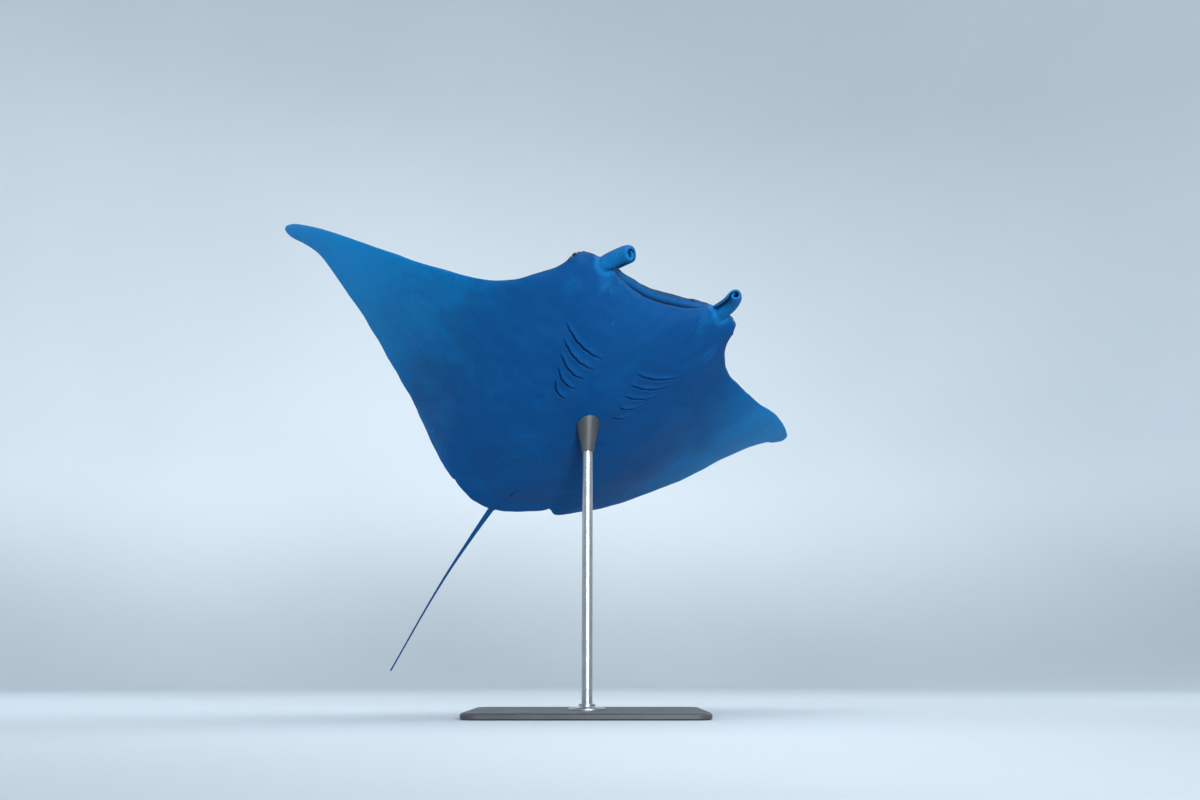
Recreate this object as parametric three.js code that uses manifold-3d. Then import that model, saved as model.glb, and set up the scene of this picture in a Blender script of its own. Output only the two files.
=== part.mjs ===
// A life-size manta ray, climbing with both wings raised, on a plain display stand.
// Units are millimetres and +Z is up. The origin is the middle of the base plate's underside.
//
// The animal is first laid out flat, as if pressed on a table, in its own coordinates:
//   s  distance behind the snout, along the body
//   y  distance to the animal's left, along the wing
//   z  height towards the back
// raised() then twists and bends the wings upwards, pose() also turns the head, and the
// animal's group sets its attitude.

import * as THREE from 'three';
import { mergeVertices } from 'three/addons/utils/BufferGeometryUtils.js';
import Module from 'manifold-3d';

const wasm = await Module();
wasm.setup();

// ---- Driving dimensions -------------------------------------------------------------------

const DISC_LENGTH = 1400;
const HALF_SPAN = 1640;
const GAP = 0.3;

// Outline of the disc: [distance from the midline, distance behind the snout].
const LEADING_EDGE = [
  [0, 46], [150, 27], [260, 4], [380, 42], [476, 158], [602, 270],
  [812, 369], [1120, 498], [1400, 662], [HALF_SPAN, 838],
];
const TRAILING_EDGE = [
  [0, 1440], [70, 1420], [150, 1374], [205, 1354], [240, 1352], [283, 1372], [350, 1345],
  [415, 1321], [490, 1306], [620, 1278], [840, 1185], [1040, 1074], [1190, 974], [1428, 849],
  [HALF_SPAN, 918],
];
const TIP_ROUNDING = 85;

// Thickness above and below the mid-surface.
const BACK_HEIGHT = 150;
const BACK_WIDTH = 420;
const BELLY_DEPTH = 102;
const BELLY_WIDTH = 500;
const WING_HALF_THICKNESS = 27;
const WING_BELLY_SHARE = 0.8;
const TIP_HALF_THICKNESS = 6;
const EDGE_HALF_THICKNESS = 1.5;

// Powers of the section's curve at its nose and tail, on the body and on the wing.
const NOSE_POWER = [0.36, 0.52];
const TAIL_POWER = [0.85, 1.0];
const SECTION_CHANGE = [200, 700];

// Wing attitude: [distance from the midline, angle in degrees]. The head and trunk stay flat.
const BEND_RIGHT = [[0, 0], [266, 0], [462, 22.8], [770, 27.8], [1190, 37], [HALF_SPAN, 49]];
const BEND_LEFT = [[0, 0], [266, 0], [462, 13.7], [770, 19.6], [1190, 32], [HALF_SPAN, 28]];
const TWIST_RIGHT = [[0, 0], [280, 0], [700, -18.4], [1190, -27.5], [HALF_SPAN, -22.6]];
const TWIST_LEFT = [[0, 0], [280, 0], [700, -5.8], [1190, -12.2], [HALF_SPAN, -22.6]];
const TWIST_AXIS = [[0, 560], [HALF_SPAN, 812]];

// How far each wing tip is swept forwards from there, growing outwards from the wing root.
const SWEEP_RIGHT = 4;
const SWEEP_LEFT = 90;
const SWEEP_START = 420;
const SWEEP_POWER = 2;

// The head looks to the right: it leans that way, and the snout turns by a few degrees more.
// Both fade out towards the back and into the wings.
const HEAD_LEAN = -24;
const LEAN_FADE = [120, 640];
const SNOUT_TURN = -3.8;
const TURN_FADE = [-20, 200];
const HEAD_FADE = [300, 700];

// The raised wing draws its shoulder forwards, and the lowered wing's lies further back.
const SHOULDER_RIGHT = { push: 34, at: 420, spread: 150 };
const SHOULDER_LEFT = { push: -16, at: 560, spread: 90 };
const SHOULDER_FADE = [150, 700];

// Mouth, at the front of the head.
const MOUTH_HALF_WIDTH = 232;
const MOUTH_GAPE = 20;
const MOUTH_DEPTH = 120;
const MOUTH_INWARD_POWER = 0.7;
const MOUTH_NARROWING = 0.45;
const JAW_SETBACK = 10;
const JAW_SETBACK_POWER = 6;
const LIP_POWER = 3;

// Eye bulges on the sides of the head, and the eyes in them.
const EYE_BULGE_AT = new THREE.Vector3(42, 350, 6);
const EYE_BULGE_REACH = 45;
const EYE_BULGE_SPREAD = 78;
const EYE_BULGE_FORWARD = 0.45;
const EYE_AT = new THREE.Vector3(50, 405, 8);
const EYE_RADIUS = 25;

// Cephalic fins: rolled sheets that reach forward from the corners of the mouth.
const CEPHALIC_ROLL_RADIUS = 41;
const CEPHALIC_SHEET = 13;
const SHEET_EDGE = 0.35;
const CEPHALIC_TURNS = 1.3;
const CEPHALIC_INNER_SHRINK = 0.62;
const CEPHALIC_ROOT_SIZE = 1.22;
const CEPHALIC_TIP_SIZE = { left: 0.93, right: 1.2 };
const CEPHALIC_FLARE_POWER = 1.6;
const CEPHALIC_ROOT = new THREE.Vector3(45, 305, -4);
const CEPHALIC_REACH = {
  left: {
    bow: new THREE.Vector3(-66, 340, -30),
    tip: new THREE.Vector3(-141, 275, -90),
  },
  right: {
    bow: new THREE.Vector3(-86, 262, -41),
    tip: new THREE.Vector3(-122, 257, -80),
  },
};

// Tail.
const TAIL_ROOT_RADIUS = 17;
const TAIL_END_RADIUS = 4;
const TAIL_START = 1290;
const TAIL_END = 2640;
const TAIL_ROOT_WIDENING = 1.25;
const TAIL_TAPER_POWER = 3.2;
const TAIL_STEP_POWER = 1.3;
const TAIL_HEIGHT = 7;
const TAIL_DROP = 110;
const TAIL_DROP_POWER = 1.6;
const TAIL_SWAY = [[0, -6], [0.12, -24], [0.4, -20], [1, 24]];

// Gill slits: five on each side of the belly, each a bowed line.
const GILL_COUNT = 5;
const GILL_INNER = [95, 380];
const GILL_OUTER = [315, 322];
const GILL_PITCH = 66;
const GILL_NARROWING = 9;
const GILL_SHORTENING = 24;
const GILL_BOW = 22;
const GILL_HALF_WIDTH = 5;
const GILL_END_SHARE = 0.15;
const GILL_FLOOR_SHARE = 0.4;
const GILL_DEPTH = 13;
const GILL_CUTTER_HEIGHT = 60;

// Pelvic fins, flat lobes on each side of the tail's root. The rear edge is given as [distance
// from the midline, how far back], from its inner corner to the outer one.
const PELVIC_FRONT = 1250;
const PELVIC_REAR = {
  left: [[-16, 1464], [40, 1451], [82, 1437], [153, 1403], [214, 1384], [246, 1372]],
  right: [[18, 1466], [70, 1464], [143, 1450], [205, 1422], [265, 1394], [335, 1350]],
};
const PELVIC_HALF_THICKNESS = 9;
const PELVIC_HEIGHT = -7;
const PELVIC_ROUNDING_POWER = 6;
const PELVIC_TIP_SHARE = 0.22;

// Dorsal fin, on the root of the tail.
const DORSAL_MIDDLE = 1352;
const DORSAL_HALF_LENGTH = 62;
const DORSAL_HEIGHT = 82;
const DORSAL_RAKE = 38;
const DORSAL_HALF_THICKNESS = 9;
const DORSAL_FOOT = 12;
const DORSAL_TAPER = 0.76;
const DORSAL_TAPER_POWER = 1.4;

// Parting planes between the named parts.
const HEAD_CUT = 285;
const WING_CUT = 434;
const TAIL_CUT = 1436;
const TAIL_SECOND_CUT = 1830;
const TAIL_THIRD_CUT = 2230;

// Attitude of the whole animal, in degrees, and where its mid-disc is.
const HEADING = -48;
const CLIMB = 36;
const BANK = -16.9;
const BODY_AT = new THREE.Vector3(-40, 15, 1420);

// Stand.
const BASE_LENGTH = 1040;
const BASE_WIDTH = 860;
const BASE_HEIGHT = 28;
const BASE_CORNER = 70;
const BASE_BEVEL = 6;
const ROD_RADIUS = 24;
const COLLAR_RADIUS = 85;
const COLLAR_HEIGHT = 26;
const COLLAR_FLANGE = 10;
const COLLAR_WALL = 12;
const COLLAR_EDGE = 4;
const SADDLE_FOOT_RADIUS = 28;
const SADDLE_RADIUS = 78;
const SADDLE_BOTTOM = 1180;

// ---- Helpers ------------------------------------------------------------------------------

// A curve through [x, value] knots that never overshoots them (monotone cubic).
function smooth(knots) {
  const last = knots.length - 1;
  const step = (i) => knots[i + 1][0] - knots[i][0];
  const rise = (i) => (knots[i + 1][1] - knots[i][1]) / step(i);
  const slopes = knots.map((_, i) => {
    if (i === 0) return rise(0);
    if (i === last) return rise(last - 1);
    if (rise(i - 1) * rise(i) <= 0) return 0;
    const before = 2 * step(i) + step(i - 1);
    const after = step(i) + 2 * step(i - 1);
    return (before + after) / (before / rise(i - 1) + after / rise(i));
  });
  return (x) => {
    let i = 0;
    while (i < last - 1 && x > knots[i + 1][0]) i += 1;
    const width = step(i);
    const t = THREE.MathUtils.clamp((x - knots[i][0]) / width, 0, 1);
    return knots[i][1] * (1 + 2 * t) * (1 - t) ** 2
      + slopes[i] * width * t * (1 - t) ** 2
      + knots[i + 1][1] * t * t * (3 - 2 * t)
      + slopes[i + 1] * width * t * t * (t - 1);
  };
}

const radians = THREE.MathUtils.degToRad;
const smoothstep = THREE.MathUtils.smoothstep;
const bell = (x) => Math.exp(-x * x);

const leadingRaw = smooth(LEADING_EDGE);
const trailingRaw = smooth(TRAILING_EDGE);

// How far the section has closed towards the rounded wing tip: 1 inboard, 0 at the tip.
function tipClosing(y) {
  const outboard = Math.max(0, Math.abs(y) - (HALF_SPAN - TIP_ROUNDING)) / TIP_ROUNDING;
  return Math.sqrt(Math.max(0, 1 - outboard * outboard));
}

// Front and rear of the section at y.
function chord(y) {
  const front = leadingRaw(Math.abs(y));
  const rear = trailingRaw(Math.abs(y));
  const middle = (front + rear) / 2;
  const half = ((rear - front) / 2) * tipClosing(y);
  return { front: middle - half, rear: middle + half };
}

// Heights of the back and depths of the belly at y, before their chordwise shape.
function thickness(y) {
  const across = Math.abs(y) / HALF_SPAN;
  const wing = THREE.MathUtils.lerp(WING_HALF_THICKNESS, TIP_HALF_THICKNESS, across);
  return {
    back: wing + BACK_HEIGHT * bell(y / BACK_WIDTH),
    belly: wing * WING_BELLY_SHARE + BELLY_DEPTH * bell(y / BELLY_WIDTH),
  };
}

// Chordwise shape: u is 0 at the leading edge and 1 at the trailing edge, and the peak is 1.
// The nose is blunt on the body and sharper on the wing.
function chordShape(u, y) {
  const outward = smoothstep(Math.abs(y), ...SECTION_CHANGE);
  const nose = THREE.MathUtils.lerp(...NOSE_POWER, outward);
  const tail = THREE.MathUtils.lerp(...TAIL_POWER, outward);
  const peakAt = nose / (nose + tail);
  const peak = peakAt ** nose * (1 - peakAt) ** tail;
  return (u ** nose * (1 - u) ** tail) / peak;
}

// Height of the belly's skin at a place on the flat layout.
function bellySurface(s, y) {
  const { front, rear } = chord(y);
  const u = THREE.MathUtils.clamp((s - front) / (rear - front), 0, 1);
  return -(thickness(y).belly * chordShape(u, y) + EDGE_HALF_THICKNESS * u);
}

// How open the mouth is at y: 1 in the middle, 0 from its corners outwards.
function mouthOpening(y) {
  const across = Math.abs(y) / MOUTH_HALF_WIDTH;
  return across < 1 ? Math.sqrt(1 - across ** 4) : 0;
}

// The closed section of the disc at y, as [s, z] points: along the back from the upper lip to
// the trailing edge, along the belly to the lower lip, and round the inside of the mouth.
const CHORD_STEPS = 12;
const MOUTH_STEPS = 6;

function discSection(y) {
  const { front, rear } = chord(y);
  const { back, belly } = thickness(y);
  const closing = tipClosing(y);
  const open = mouthOpening(y);
  const halfGape = (MOUTH_GAPE / 2) * open;
  const setback = JAW_SETBACK * open;
  const section = [];
  for (let i = 0; i <= CHORD_STEPS; i += 1) {
    const u = 0.5 - 0.5 * Math.cos((Math.PI * i) / CHORD_STEPS);
    const lip = halfGape * (1 - u) ** LIP_POWER;
    const z = (back * chordShape(u, y) + EDGE_HALF_THICKNESS * u) * closing + lip;
    section.push([front + (rear - front) * u, z]);
  }
  for (let i = CHORD_STEPS; i >= 0; i -= 1) {
    const u = 0.5 - 0.5 * Math.cos((Math.PI * i) / CHORD_STEPS);
    const lip = halfGape * (1 - u) ** LIP_POWER;
    const z = (belly * chordShape(u, y) + EDGE_HALF_THICKNESS * u) * closing + lip;
    const behind = setback * (1 - u) ** JAW_SETBACK_POWER;
    section.push([front + behind + (rear - front) * u, -z]);
  }
  for (let i = 1; i < MOUTH_STEPS; i += 1) {
    const turn = (Math.PI * i) / MOUTH_STEPS;
    const inward = MOUTH_DEPTH * open * Math.sin(turn) ** MOUTH_INWARD_POWER;
    const lipLine = setback * (0.5 + 0.5 * Math.cos(turn));
    const height = -halfGape * Math.cos(turn) * (1 - MOUTH_NARROWING * Math.sin(turn));
    section.push([front + lipLine + inward, height]);
  }
  return section;
}

// Twists the wing about a spanwise axis, and then bends it upwards along its length.
// The bend is an angle that grows along the wing, summed up in short steps.
const BEND_STEP = 7;
const BEND_SAMPLES = Math.ceil((HALF_SPAN * 1.1) / BEND_STEP);

function bendTable(knots) {
  const angleAt = smooth(knots);
  const table = [{ out: 0, up: 0, angle: 0 }];
  for (let i = 1; i <= BEND_SAMPLES; i += 1) {
    const angle = radians(angleAt(i * BEND_STEP));
    const middle = (angle + table[i - 1].angle) / 2;
    const out = table[i - 1].out + Math.cos(middle) * BEND_STEP;
    const up = table[i - 1].up + Math.sin(middle) * BEND_STEP;
    table.push({ out, up, angle });
  }
  return table;
}

const SIDES = {
  left: { bend: bendTable(BEND_LEFT), twist: smooth(TWIST_LEFT), sweep: SWEEP_LEFT },
  right: { bend: bendTable(BEND_RIGHT), twist: smooth(TWIST_RIGHT), sweep: SWEEP_RIGHT },
};
const twistAxis = smooth(TWIST_AXIS);

// Takes a flat point to the raised-wing shape: x forward from mid-disc, y left, z up.
function raised(s, y, z) {
  const side = y < 0 ? SIDES.right : SIDES.left;
  const across = Math.abs(y);
  const turn = radians(side.twist(across));
  const behind = s - twistAxis(across);
  const sTwisted = twistAxis(across) + behind * Math.cos(turn) + z * Math.sin(turn);
  const zTwisted = z * Math.cos(turn) - behind * Math.sin(turn);
  const place = Math.min(across / BEND_STEP, BEND_SAMPLES - 1);
  const low = side.bend[Math.floor(place)];
  const high = side.bend[Math.floor(place) + 1];
  const share = place - Math.floor(place);
  const angle = THREE.MathUtils.lerp(low.angle, high.angle, share);
  const out = THREE.MathUtils.lerp(low.out, high.out, share) - zTwisted * Math.sin(angle);
  const up = THREE.MathUtils.lerp(low.up, high.up, share) + zTwisted * Math.cos(angle);
  const outboard = Math.max(0, across - SWEEP_START) / (HALF_SPAN - SWEEP_START);
  const forward = side.sweep * outboard ** SWEEP_POWER;
  return new THREE.Vector3(DISC_LENGTH / 2 - sTwisted + forward, Math.sign(y) * out, up);
}

// Takes a flat point to the animal's own shape: raised wings and a turned head.
function pose(s, y, z) {
  const point = raised(s, y, z);
  const share = 1 - smoothstep(Math.abs(y), ...HEAD_FADE);
  point.x -= radians(SNOUT_TURN) * (1 - smoothstep(s, ...TURN_FADE)) * share * y;
  point.y += HEAD_LEAN * (1 - smoothstep(s, ...LEAN_FADE)) * share;
  const shoulder = y < 0 ? SHOULDER_RIGHT : SHOULDER_LEFT;
  const near = bell((Math.abs(y) - shoulder.at) / shoulder.spread);
  point.x += shoulder.push * near * (1 - smoothstep(s, ...SHOULDER_FADE));
  return point;
}

// Swells the side of the head outwards round the eye.
function bulged(s, y, z) {
  const side = Math.sign(y);
  const away = new THREE.Vector3(s, Math.abs(y), z).sub(EYE_BULGE_AT).length();
  const swell = EYE_BULGE_REACH * bell(away / EYE_BULGE_SPREAD);
  return [s - swell * EYE_BULGE_FORWARD, y + side * swell, z];
}

// Skins a stack of rings of [s, y, z] points with triangles, and closes both ends. Points that
// fall together are merged, and the triangles that this empties are dropped.
function skin(rings, place = pose) {
  const size = rings[0].length;
  const positions = [];
  const index = [];
  for (const ring of rings) {
    for (const [s, y, z] of ring) positions.push(...place(s, y, z).toArray());
  }
  for (let i = 0; i < rings.length - 1; i += 1) {
    for (let j = 0; j < size; j += 1) {
      const a = i * size + j;
      const b = i * size + ((j + 1) % size);
      index.push(a, b, b + size);
      index.push(a, b + size, a + size);
    }
  }
  index.push(...endCap(rings[0], 0, true));
  index.push(...endCap(rings[rings.length - 1], (rings.length - 1) * size, false));
  const geometry = new THREE.BufferGeometry();
  geometry.setAttribute('position', new THREE.Float32BufferAttribute(positions, 3));
  geometry.setIndex(index);
  return facingOut(withoutEmptyTriangles(mergeVertices(geometry, 1e-3)));
}

// Turns the triangles round if they face inwards, which the signed volume shows.
function facingOut(geometry) {
  const { position } = geometry.attributes;
  const index = geometry.index.array;
  const corner = (i) => new THREE.Vector3().fromBufferAttribute(position, index[i]);
  let volume = 0;
  for (let i = 0; i < index.length; i += 3) {
    volume += corner(i).dot(corner(i + 1).cross(corner(i + 2)));
  }
  if (volume < 0) geometry.setIndex([...index].reverse());
  return geometry;
}

// Triangles that close one end ring, cut in its own plane.
function endCap(ring, offset, flip) {
  const points = ring.map((p) => new THREE.Vector3(...p));
  const normal = new THREE.Vector3();
  points.forEach((p, i) => normal.add(p.clone().cross(points[(i + 1) % points.length])));
  if (normal.length() < 1e-6) return [];
  normal.normalize();
  const side = Math.abs(normal.x) < 0.9 ? new THREE.Vector3(1, 0, 0) : new THREE.Vector3(0, 1, 0);
  const across = side.cross(normal).normalize();
  const along = normal.clone().cross(across);
  const flat = points.map((p) => new THREE.Vector2(p.dot(across), p.dot(along)));
  const faces = THREE.ShapeUtils.triangulateShape(flat, []);
  return faces.flatMap(([a, b, c]) => (flip
    ? [offset + a, offset + c, offset + b]
    : [offset + a, offset + b, offset + c]));
}

function withoutEmptyTriangles(geometry) {
  const kept = [];
  const index = geometry.index.array;
  for (let i = 0; i < index.length; i += 3) {
    const [a, b, c] = [index[i], index[i + 1], index[i + 2]];
    if (a !== b && b !== c && a !== c) kept.push(a, b, c);
  }
  geometry.setIndex(kept);
  return geometry;
}

// Conversions between three.js geometries and solids that can be joined and cut.
function solid(geometry) {
  const bare = geometry.clone();
  bare.deleteAttribute('normal');
  bare.deleteAttribute('uv');
  const merged = withoutEmptyTriangles(mergeVertices(bare, 1e-3));
  return new wasm.Manifold(new wasm.Mesh({
    numProp: 3,
    vertProperties: Float32Array.from(merged.attributes.position.array),
    triVerts: Uint32Array.from(merged.index.array),
  }));
}

function geometryOf(body) {
  const mesh = body.getMesh();
  const geometry = new THREE.BufferGeometry();
  geometry.setAttribute('position', new THREE.BufferAttribute(mesh.vertProperties, 3));
  geometry.setIndex(new THREE.BufferAttribute(mesh.triVerts, 1));
  geometry.computeVertexNormals();
  return geometry;
}

// The same solid with its surface moved outwards by a distance.
function grown(body, distance) {
  const geometry = geometryOf(body);
  const position = geometry.attributes.position;
  const normal = geometry.attributes.normal;
  for (let i = 0; i < position.count; i += 1) {
    position.setXYZ(
      i,
      position.getX(i) + normal.getX(i) * distance,
      position.getY(i) + normal.getY(i) * distance,
      position.getZ(i) + normal.getZ(i) * distance,
    );
  }
  return solid(geometry);
}

// ---- The disc: head, trunk and wings in one ------------------------------------------------

// Stations across the disc: close together at the mouth's corners and at the wing tips, and
// even across the sides of the head.
const MOUTH_STATIONS = 7;
const HEAD_SIDE_STATIONS = 10;
const HEAD_SIDE_END = 470;
const WING_STATIONS = 16;

function spanStations() {
  const crowded = (count, from, to) => Array.from({ length: count }, (_, i) => (
    THREE.MathUtils.lerp(from, to, Math.sin((Math.PI * (i + 1)) / (2 * count)))
  ));
  const even = (count, from, to) => Array.from({ length: count }, (_, i) => (
    THREE.MathUtils.lerp(from, to, (i + 1) / count)
  ));
  const half = [
    ...crowded(MOUTH_STATIONS, 0, MOUTH_HALF_WIDTH),
    ...even(HEAD_SIDE_STATIONS, MOUTH_HALF_WIDTH, HEAD_SIDE_END),
    ...crowded(WING_STATIONS, HEAD_SIDE_END, HALF_SPAN),
  ];
  return [...half.map((y) => -y).reverse(), 0, ...half];
}

function discSolid() {
  const rings = spanStations().map((y) => (
    discSection(y).map(([s, z]) => bulged(s, y, z))
  ));
  return solid(skin(rings));
}

// A block of the flat layout, raised with the wings: the room that one part may take.
const BLOCK_STEP = 70;

function block([s0, s1], [y0, y1], [z0, z1], place = raised) {
  const cuts = [y0];
  for (let y = Math.ceil((y0 + 1) / BLOCK_STEP) * BLOCK_STEP; y < y1 - 1; y += BLOCK_STEP) {
    cuts.push(y);
  }
  cuts.push(y1);
  const rings = cuts.map((y) => [[s0, y, z1], [s1, y, z1], [s1, y, z0], [s0, y, z0]]);
  return solid(skin(rings, place));
}

// The room in front of an upright plane across the animal.
function inFrontOf(s) {
  const box = new THREE.BoxGeometry(FAR, 2 * FAR, 2 * FAR);
  return solid(box.translate(DISC_LENGTH / 2 - s + FAR / 2, 0, 0));
}

// ---- Smaller parts -------------------------------------------------------------------------

// Points on a circle or ellipse round a place on a path.
function ellipseRing(centre, across, up, radiusAcross, radiusUp, sides) {
  const ring = [];
  for (let i = 0; i < sides; i += 1) {
    const turn = (2 * Math.PI * i) / sides;
    const point = centre.clone()
      .addScaledVector(across, radiusAcross * Math.cos(turn))
      .addScaledVector(up, radiusUp * Math.sin(turn));
    ring.push(point.toArray());
  }
  return ring;
}

const tailSway = smooth(TAIL_SWAY);

// The middle of the tail at t from 0 at its root to 1 at its end.
function tailPath(t) {
  const s = THREE.MathUtils.lerp(TAIL_START, TAIL_END, t);
  return new THREE.Vector3(s, tailSway(t), TAIL_HEIGHT - TAIL_DROP * t ** TAIL_DROP_POWER);
}

function tailSolid() {
  const steps = 18;
  const sides = 10;
  const rings = [];
  for (let i = 0; i <= steps; i += 1) {
    const t = (i / steps) ** TAIL_STEP_POWER;
    const slim = 1 - (1 - t) ** TAIL_TAPER_POWER;
    const radius = THREE.MathUtils.lerp(TAIL_ROOT_RADIUS, TAIL_END_RADIUS, slim);
    rings.push(ellipseRing(
      tailPath(t),
      new THREE.Vector3(0, -1, 0),
      new THREE.Vector3(0, 0, 1),
      radius * THREE.MathUtils.lerp(TAIL_ROOT_WIDENING, 1, t),
      radius,
      sides,
    ));
  }
  return solid(skin(rings));
}

// A cephalic fin is a sheet rolled into a horn. Its section is a spiral band.
const SPIRAL_STEPS = 14;
const CEPHALIC_STEPS = 7;

function spiralBand(size) {
  const outside = [];
  const inside = [];
  for (let i = 0; i <= SPIRAL_STEPS; i += 1) {
    const t = i / SPIRAL_STEPS;
    const turn = 2 * Math.PI * CEPHALIC_TURNS * t;
    const radius = CEPHALIC_ROLL_RADIUS * size * (1 - CEPHALIC_INNER_SHRINK * t);
    const sheet = CEPHALIC_SHEET * size * Math.min(1, SHEET_EDGE + 4 * Math.min(t, 1 - t));
    outside.push([radius * Math.cos(turn), radius * Math.sin(turn)]);
    inside.push([(radius - sheet) * Math.cos(turn), (radius - sheet) * Math.sin(turn)]);
  }
  return [...outside, ...inside.reverse()];
}

function cephalicSolid(side, reach, tipSize) {
  const start = CEPHALIC_ROOT;
  const path = new THREE.QuadraticBezierCurve3(start, reach.bow, reach.tip);
  const rings = [];
  for (let i = 0; i <= CEPHALIC_STEPS; i += 1) {
    const t = i / CEPHALIC_STEPS;
    const centre = path.getPoint(t);
    const along = path.getTangent(t);
    const up = new THREE.Vector3(0, 0, 1).addScaledVector(along, -along.z).normalize();
    const across = up.clone().cross(along);
    const size = THREE.MathUtils.lerp(tipSize, CEPHALIC_ROOT_SIZE, (1 - t) ** CEPHALIC_FLARE_POWER);
    rings.push(spiralBand(size).map(([a, b]) => {
      const point = centre.clone().addScaledVector(across, a).addScaledVector(up, b);
      return [point.x, point.y * side, point.z];
    }));
  }
  return solid(skin(rings));
}

// A flat lobe beside the tail root, thinner and rounder towards its outer end.
function pelvicSolid(side, corners) {
  const rear = smooth(corners);
  const [inner, outer] = [corners[0][0], corners[corners.length - 1][0]];
  const steps = 8;
  const sides = 12;
  const rings = [];
  for (let i = 0; i <= steps; i += 1) {
    const outward = Math.sin((Math.PI * i) / (2 * steps));
    const y = THREE.MathUtils.lerp(inner, outer, outward);
    const rounding = Math.sqrt(1 - outward ** PELVIC_ROUNDING_POWER);
    const closing = Math.max(PELVIC_TIP_SHARE, rounding);
    const middle = (PELVIC_FRONT + rear(y)) / 2;
    const halfLength = ((rear(y) - PELVIC_FRONT) / 2) * closing;
    rings.push(ellipseRing(
      new THREE.Vector3(middle, y * side, PELVIC_HEIGHT),
      new THREE.Vector3(1, 0, 0),
      new THREE.Vector3(0, 0, 1),
      halfLength,
      PELVIC_HALF_THICKNESS * closing,
      sides,
    ));
  }
  return solid(skin(rings));
}

// A small raked fin whose foot is sunk in the root of the tail.
function dorsalSolid() {
  const steps = 6;
  const sides = 12;
  const rings = [];
  for (let i = 0; i <= steps; i += 1) {
    const t = i / steps;
    const taper = 1 - DORSAL_TAPER * t ** DORSAL_TAPER_POWER;
    const height = DORSAL_FOOT + DORSAL_HEIGHT * t;
    rings.push(ellipseRing(
      new THREE.Vector3(DORSAL_MIDDLE + DORSAL_RAKE * t, 0, height),
      new THREE.Vector3(1, 0, 0),
      new THREE.Vector3(0, 1, 0),
      DORSAL_HALF_LENGTH * taper,
      DORSAL_HALF_THICKNESS * taper,
      sides,
    ));
  }
  return solid(skin(rings));
}

// The cutter for one gill slit: a thin lens that follows the belly and bites into it.
function gillCutter(number, side) {
  const inner = [GILL_INNER[0] + GILL_NARROWING * number, GILL_INNER[1] + GILL_PITCH * number];
  const outer = [GILL_OUTER[0] - GILL_SHORTENING * number, GILL_OUTER[1] + GILL_PITCH * number];
  const steps = 3;
  const rings = [];
  for (let i = 0; i <= steps; i += 1) {
    const t = i / steps;
    const y = THREE.MathUtils.lerp(inner[0], outer[0], t);
    const bow = GILL_BOW * 4 * t * (1 - t);
    const s = THREE.MathUtils.lerp(inner[1], outer[1], t) + bow;
    const half = GILL_HALF_WIDTH * Math.max(GILL_END_SHARE, Math.sin(Math.PI * t));
    const floor = bellySurface(s, y) + GILL_DEPTH * Math.sin(Math.PI * t);
    const below = floor - GILL_CUTTER_HEIGHT;
    rings.push([
      [s - half, y * side, below], [s + half, y * side, below],
      [s + half * GILL_FLOOR_SHARE, y * side, floor],
      [s - half * GILL_FLOOR_SHARE, y * side, floor],
    ]);
  }
  return solid(skin(rings));
}

function eyeGeometry(side, radius) {
  const sphere = new THREE.SphereGeometry(radius, 14, 8);
  const centre = pose(EYE_AT.x, EYE_AT.y * side, EYE_AT.z);
  return sphere.translate(centre.x, centre.y, centre.z);
}

// ---- Parting the animal --------------------------------------------------------------------

const HALF_GAP = GAP / 2;
const FAR = 2600;
const TALL = 420;
const WIDE = HALF_SPAN + 40;
const wholeHeight = [-TALL, TALL];

const disc = discSolid();
const tail = tailSolid();
const sides = { left: 1, right: -1 };
const sockets = Object.values(sides).map((side) => solid(eyeGeometry(side, EYE_RADIUS + GAP)));

// The tail and disc are one body before they are parted.
const body = disc.add(tail);
const clearOfBody = grown(body, GAP);

const headRoom = inFrontOf(HEAD_CUT - HALF_GAP);
const headClearance = inFrontOf(HEAD_CUT + HALF_GAP);
const jawSides = [-MOUTH_HALF_WIDTH, MOUTH_HALF_WIDTH];
const jawClearSides = [jawSides[0] - GAP, jawSides[1] + GAP];
const jawLength = [-TALL, TALL];
const jawRoom = block(jawLength, jawSides, [-TALL, -HALF_GAP], pose);
const jawClearance = block(jawLength, jawClearSides, [-TALL, HALF_GAP], pose);
const trunkSides = [-WING_CUT + HALF_GAP, WING_CUT - HALF_GAP];
const trunkRoom = block([-FAR, TAIL_CUT - HALF_GAP], trunkSides, wholeHeight);
const wingRoom = {
  left: block([-FAR, FAR], [WING_CUT + HALF_GAP, WIDE], wholeHeight),
  right: block([-FAR, FAR], [-WIDE, -WING_CUT - HALF_GAP], wholeHeight),
};

const head = sockets.reduce((whole, socket) => whole.subtract(socket), body.intersect(headRoom));
const behindHead = body.subtract(headClearance);

const parts = {};
parts.head = head.subtract(jawClearance);
parts.lower_jaw = head.intersect(jawRoom);
parts.trunk = behindHead.intersect(trunkRoom);
for (let number = 0; number < GILL_COUNT; number += 1) {
  for (const side of Object.values(sides)) {
    parts.trunk = parts.trunk.subtract(gillCutter(number, side));
  }
}
for (const [name, side] of Object.entries(sides)) {
  parts[`wing_${name}`] = behindHead.intersect(wingRoom[name]);
  const horn = cephalicSolid(side, CEPHALIC_REACH[name], CEPHALIC_TIP_SIZE[name]);
  parts[`cephalic_fin_${name}`] = horn.subtract(clearOfBody);
  parts[`pelvic_fin_${name}`] = pelvicSolid(side, PELVIC_REAR[name]).subtract(clearOfBody);
  parts[`eye_${name}`] = solid(eyeGeometry(side, EYE_RADIUS));
}
parts.dorsal_fin = dorsalSolid().subtract(clearOfBody);
const tailCuts = [TAIL_CUT, TAIL_SECOND_CUT, TAIL_THIRD_CUT, FAR + 400];
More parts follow.
